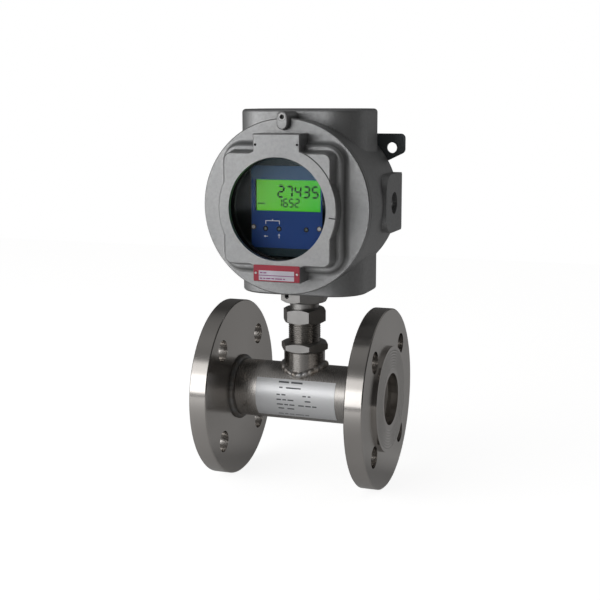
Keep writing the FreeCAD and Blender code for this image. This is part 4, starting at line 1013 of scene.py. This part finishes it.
# Each lamp's name, direction from the object's middle, distance, size and watts
LAMPS = (
    ("key_lamp", (-0.62, -0.77, 0.15), 1.25, (1.5, 0.46), 2.9),
    ("wide_lamp", (-0.62, -0.77, 0.28), 1.3, (1.5, 0.84), 4.6),
)

CAMERA_AZIMUTH = math.radians(20.085)
CAMERA_PITCH = math.radians(9.626)
CAMERA_ROLL = math.radians(-0.152)
CAMERA_SENSOR = 36
CAMERA_LENS = 68.69
CAMERA_SHIFT = (0.0068, -0.0090)
CAMERA_DISTANCE = 0.96124
CAMERA_TARGET = Vector((PIPE_X - 7.7 * MM, 0, 82.94 * MM))


def ray_kinds(tree):
    """Camera and transmission rays together, and glossy rays, each as 0 or 1."""
    path = tree.nodes.new("ShaderNodeLightPath")
    straight = maths(tree, "ADD", path.outputs["Is Camera Ray"], path.outputs["Is Transmission Ray"])
    return straight, path.outputs["Is Glossy Ray"]


def towards_key(tree, vector):
    """How far a vector points to the side that the lamps stand on."""
    return put(tree, "VectorMath", {0: vector, 1: KEY_SIDE}, output="Value", operation="DOT_PRODUCT")


def back_corner(tree, direction):
    """A soft light patch behind the object to the right, which its flat right faces mirror."""
    across, ahead, _ = parts_of(tree, direction)
    right = maths(tree, "MAXIMUM", across, 0.0)
    back = maths(tree, "MAXIMUM", ahead, 0.0)
    return spread(tree, maths(tree, "MULTIPLY", right, back), 0, 0.19, start=0.16, end=0.34)


def shown_white(tree, patches):
    """How white a spot shows: fully to the camera and through glass, by the sum of its patches to metal."""
    straight, glossy = ray_kinds(tree)
    mirrored = maths(tree, "MULTIPLY", glossy, chain(tree, "ADD", patches))
    return maths(tree, "ADD", straight, mirrored, clamp=True)


def studio_floor():
    """A pale floor that shows white to the camera and keeps the object's shadow."""
    mesh = bpy.data.meshes.new("floor")
    corners = bar(-FLOOR_REACH, FLOOR_REACH, -FLOOR_REACH, FLOOR_REACH)
    mesh.from_pydata([(across, ahead, FLOOR_Z) for across, ahead in corners], [], [(0, 1, 2, 3)])
    floor = bpy.data.objects.new("floor", mesh)
    bpy.context.scene.collection.objects.link(floor)
    material, tree, shader = new_material("pale_floor")
    mesh.materials.append(material)
    _, glossy = ray_kinds(tree)
    shade(tree, shader, Base_Color=blend(tree, glossy, grey(0.45), grey(0.3)), Roughness=0.9)
    spot = place(tree)
    _, ahead, _ = parts_of(tree, spot)
    left = spread(tree, towards_key(tree, spot), 0, 0.38, start=0, end=0.4)
    front = spread(tree, ahead, 0.24, 0.02, start=-0.08, end=0.12)
    corner = back_corner(tree, put(tree, "VectorMath", {0: spot}, operation="NORMALIZE"))
    strength = maths(tree, "MULTIPLY", shown_white(tree, (left, front, corner)), FLOOR_GLOW)
    glow = put(tree, "Emission", {"Color": WHITE, "Strength": strength})
    both = put(tree, "AddShader", {0: shader.outputs[0], 1: glow})
    tree.links.new(both, tree.nodes["Material Output"].inputs["Surface"])


def studio_world():
    """White behind the object; metal mirrors a dim room that is bright to the left, behind and above."""
    world = bpy.data.worlds.new("studio")
    bpy.context.scene.world = world
    world.use_nodes = True
    tree = world.node_tree
    direction = put(tree, "TexCoord", output="Generated")
    _, ahead, up = parts_of(tree, direction)
    left = spread(tree, towards_key(tree, direction), 0.015, 0.4, start=0.35, end=1)
    behind = spread(tree, ahead, 0, 0.03, start=0.4, end=1)
    overhead = spread(tree, up, 0, 0.2, start=0.72, end=0.92)
    amount = shown_white(tree, (left, behind, overhead, back_corner(tree, direction)))
    _, glossy = ray_kinds(tree)
    room = blend(tree, glossy, grey(0.26, 0.01), grey(0.035, 0.01))
    colour = blend(tree, amount, room, WHITE)
    tree.links.new(colour, tree.nodes["Background"].inputs["Color"])


def lamp(name, direction, distance, size, energy):
    """A soft rectangular lamp that looks at the object's middle and doesn't show itself."""
    light = bpy.data.lights.new(name, "AREA")
    light.shape = "RECTANGLE"
    light.size, light.size_y = size
    light.energy = energy
    item = bpy.data.objects.new(name, light)
    target = Vector((PIPE_X, 0, DRUM_Z / 2))
    way = Vector(direction).normalized()
    item.location = target + way * distance
    item.rotation_mode = "QUATERNION"
    item.rotation_quaternion = way.to_track_quat("Z", "Y")
    item.visible_camera = False
    bpy.context.scene.collection.objects.link(item)


def photo_camera():
    """The camera at the photograph's viewing angle."""
    flat = math.cos(CAMERA_PITCH)
    back = Vector(
        (math.sin(CAMERA_AZIMUTH) * flat, -math.cos(CAMERA_AZIMUTH) * flat, math.sin(CAMERA_PITCH))
    )
    right = Vector((math.cos(CAMERA_AZIMUTH), math.sin(CAMERA_AZIMUTH), 0))
    up = back.cross(right)
    side = right * math.cos(CAMERA_ROLL) + up * math.sin(CAMERA_ROLL)
    top = back.cross(side)
    data = bpy.data.cameras.new("camera")
    data.sensor_width = CAMERA_SENSOR
    data.lens = CAMERA_LENS
    data.shift_x, data.shift_y = CAMERA_SHIFT
    camera = bpy.data.objects.new("camera", data)
    turn = Matrix((side, top, back)).transposed()
    camera.matrix_world = Matrix.Translation(CAMERA_TARGET + back * CAMERA_DISTANCE) @ turn.to_4x4()
    bpy.context.scene.collection.objects.link(camera)
    bpy.context.scene.camera = camera


studio_floor()
studio_world()
for settings in LAMPS:
    lamp(*settings)
photo_camera()
bpy.context.scene.view_settings.view_transform = "Standard"
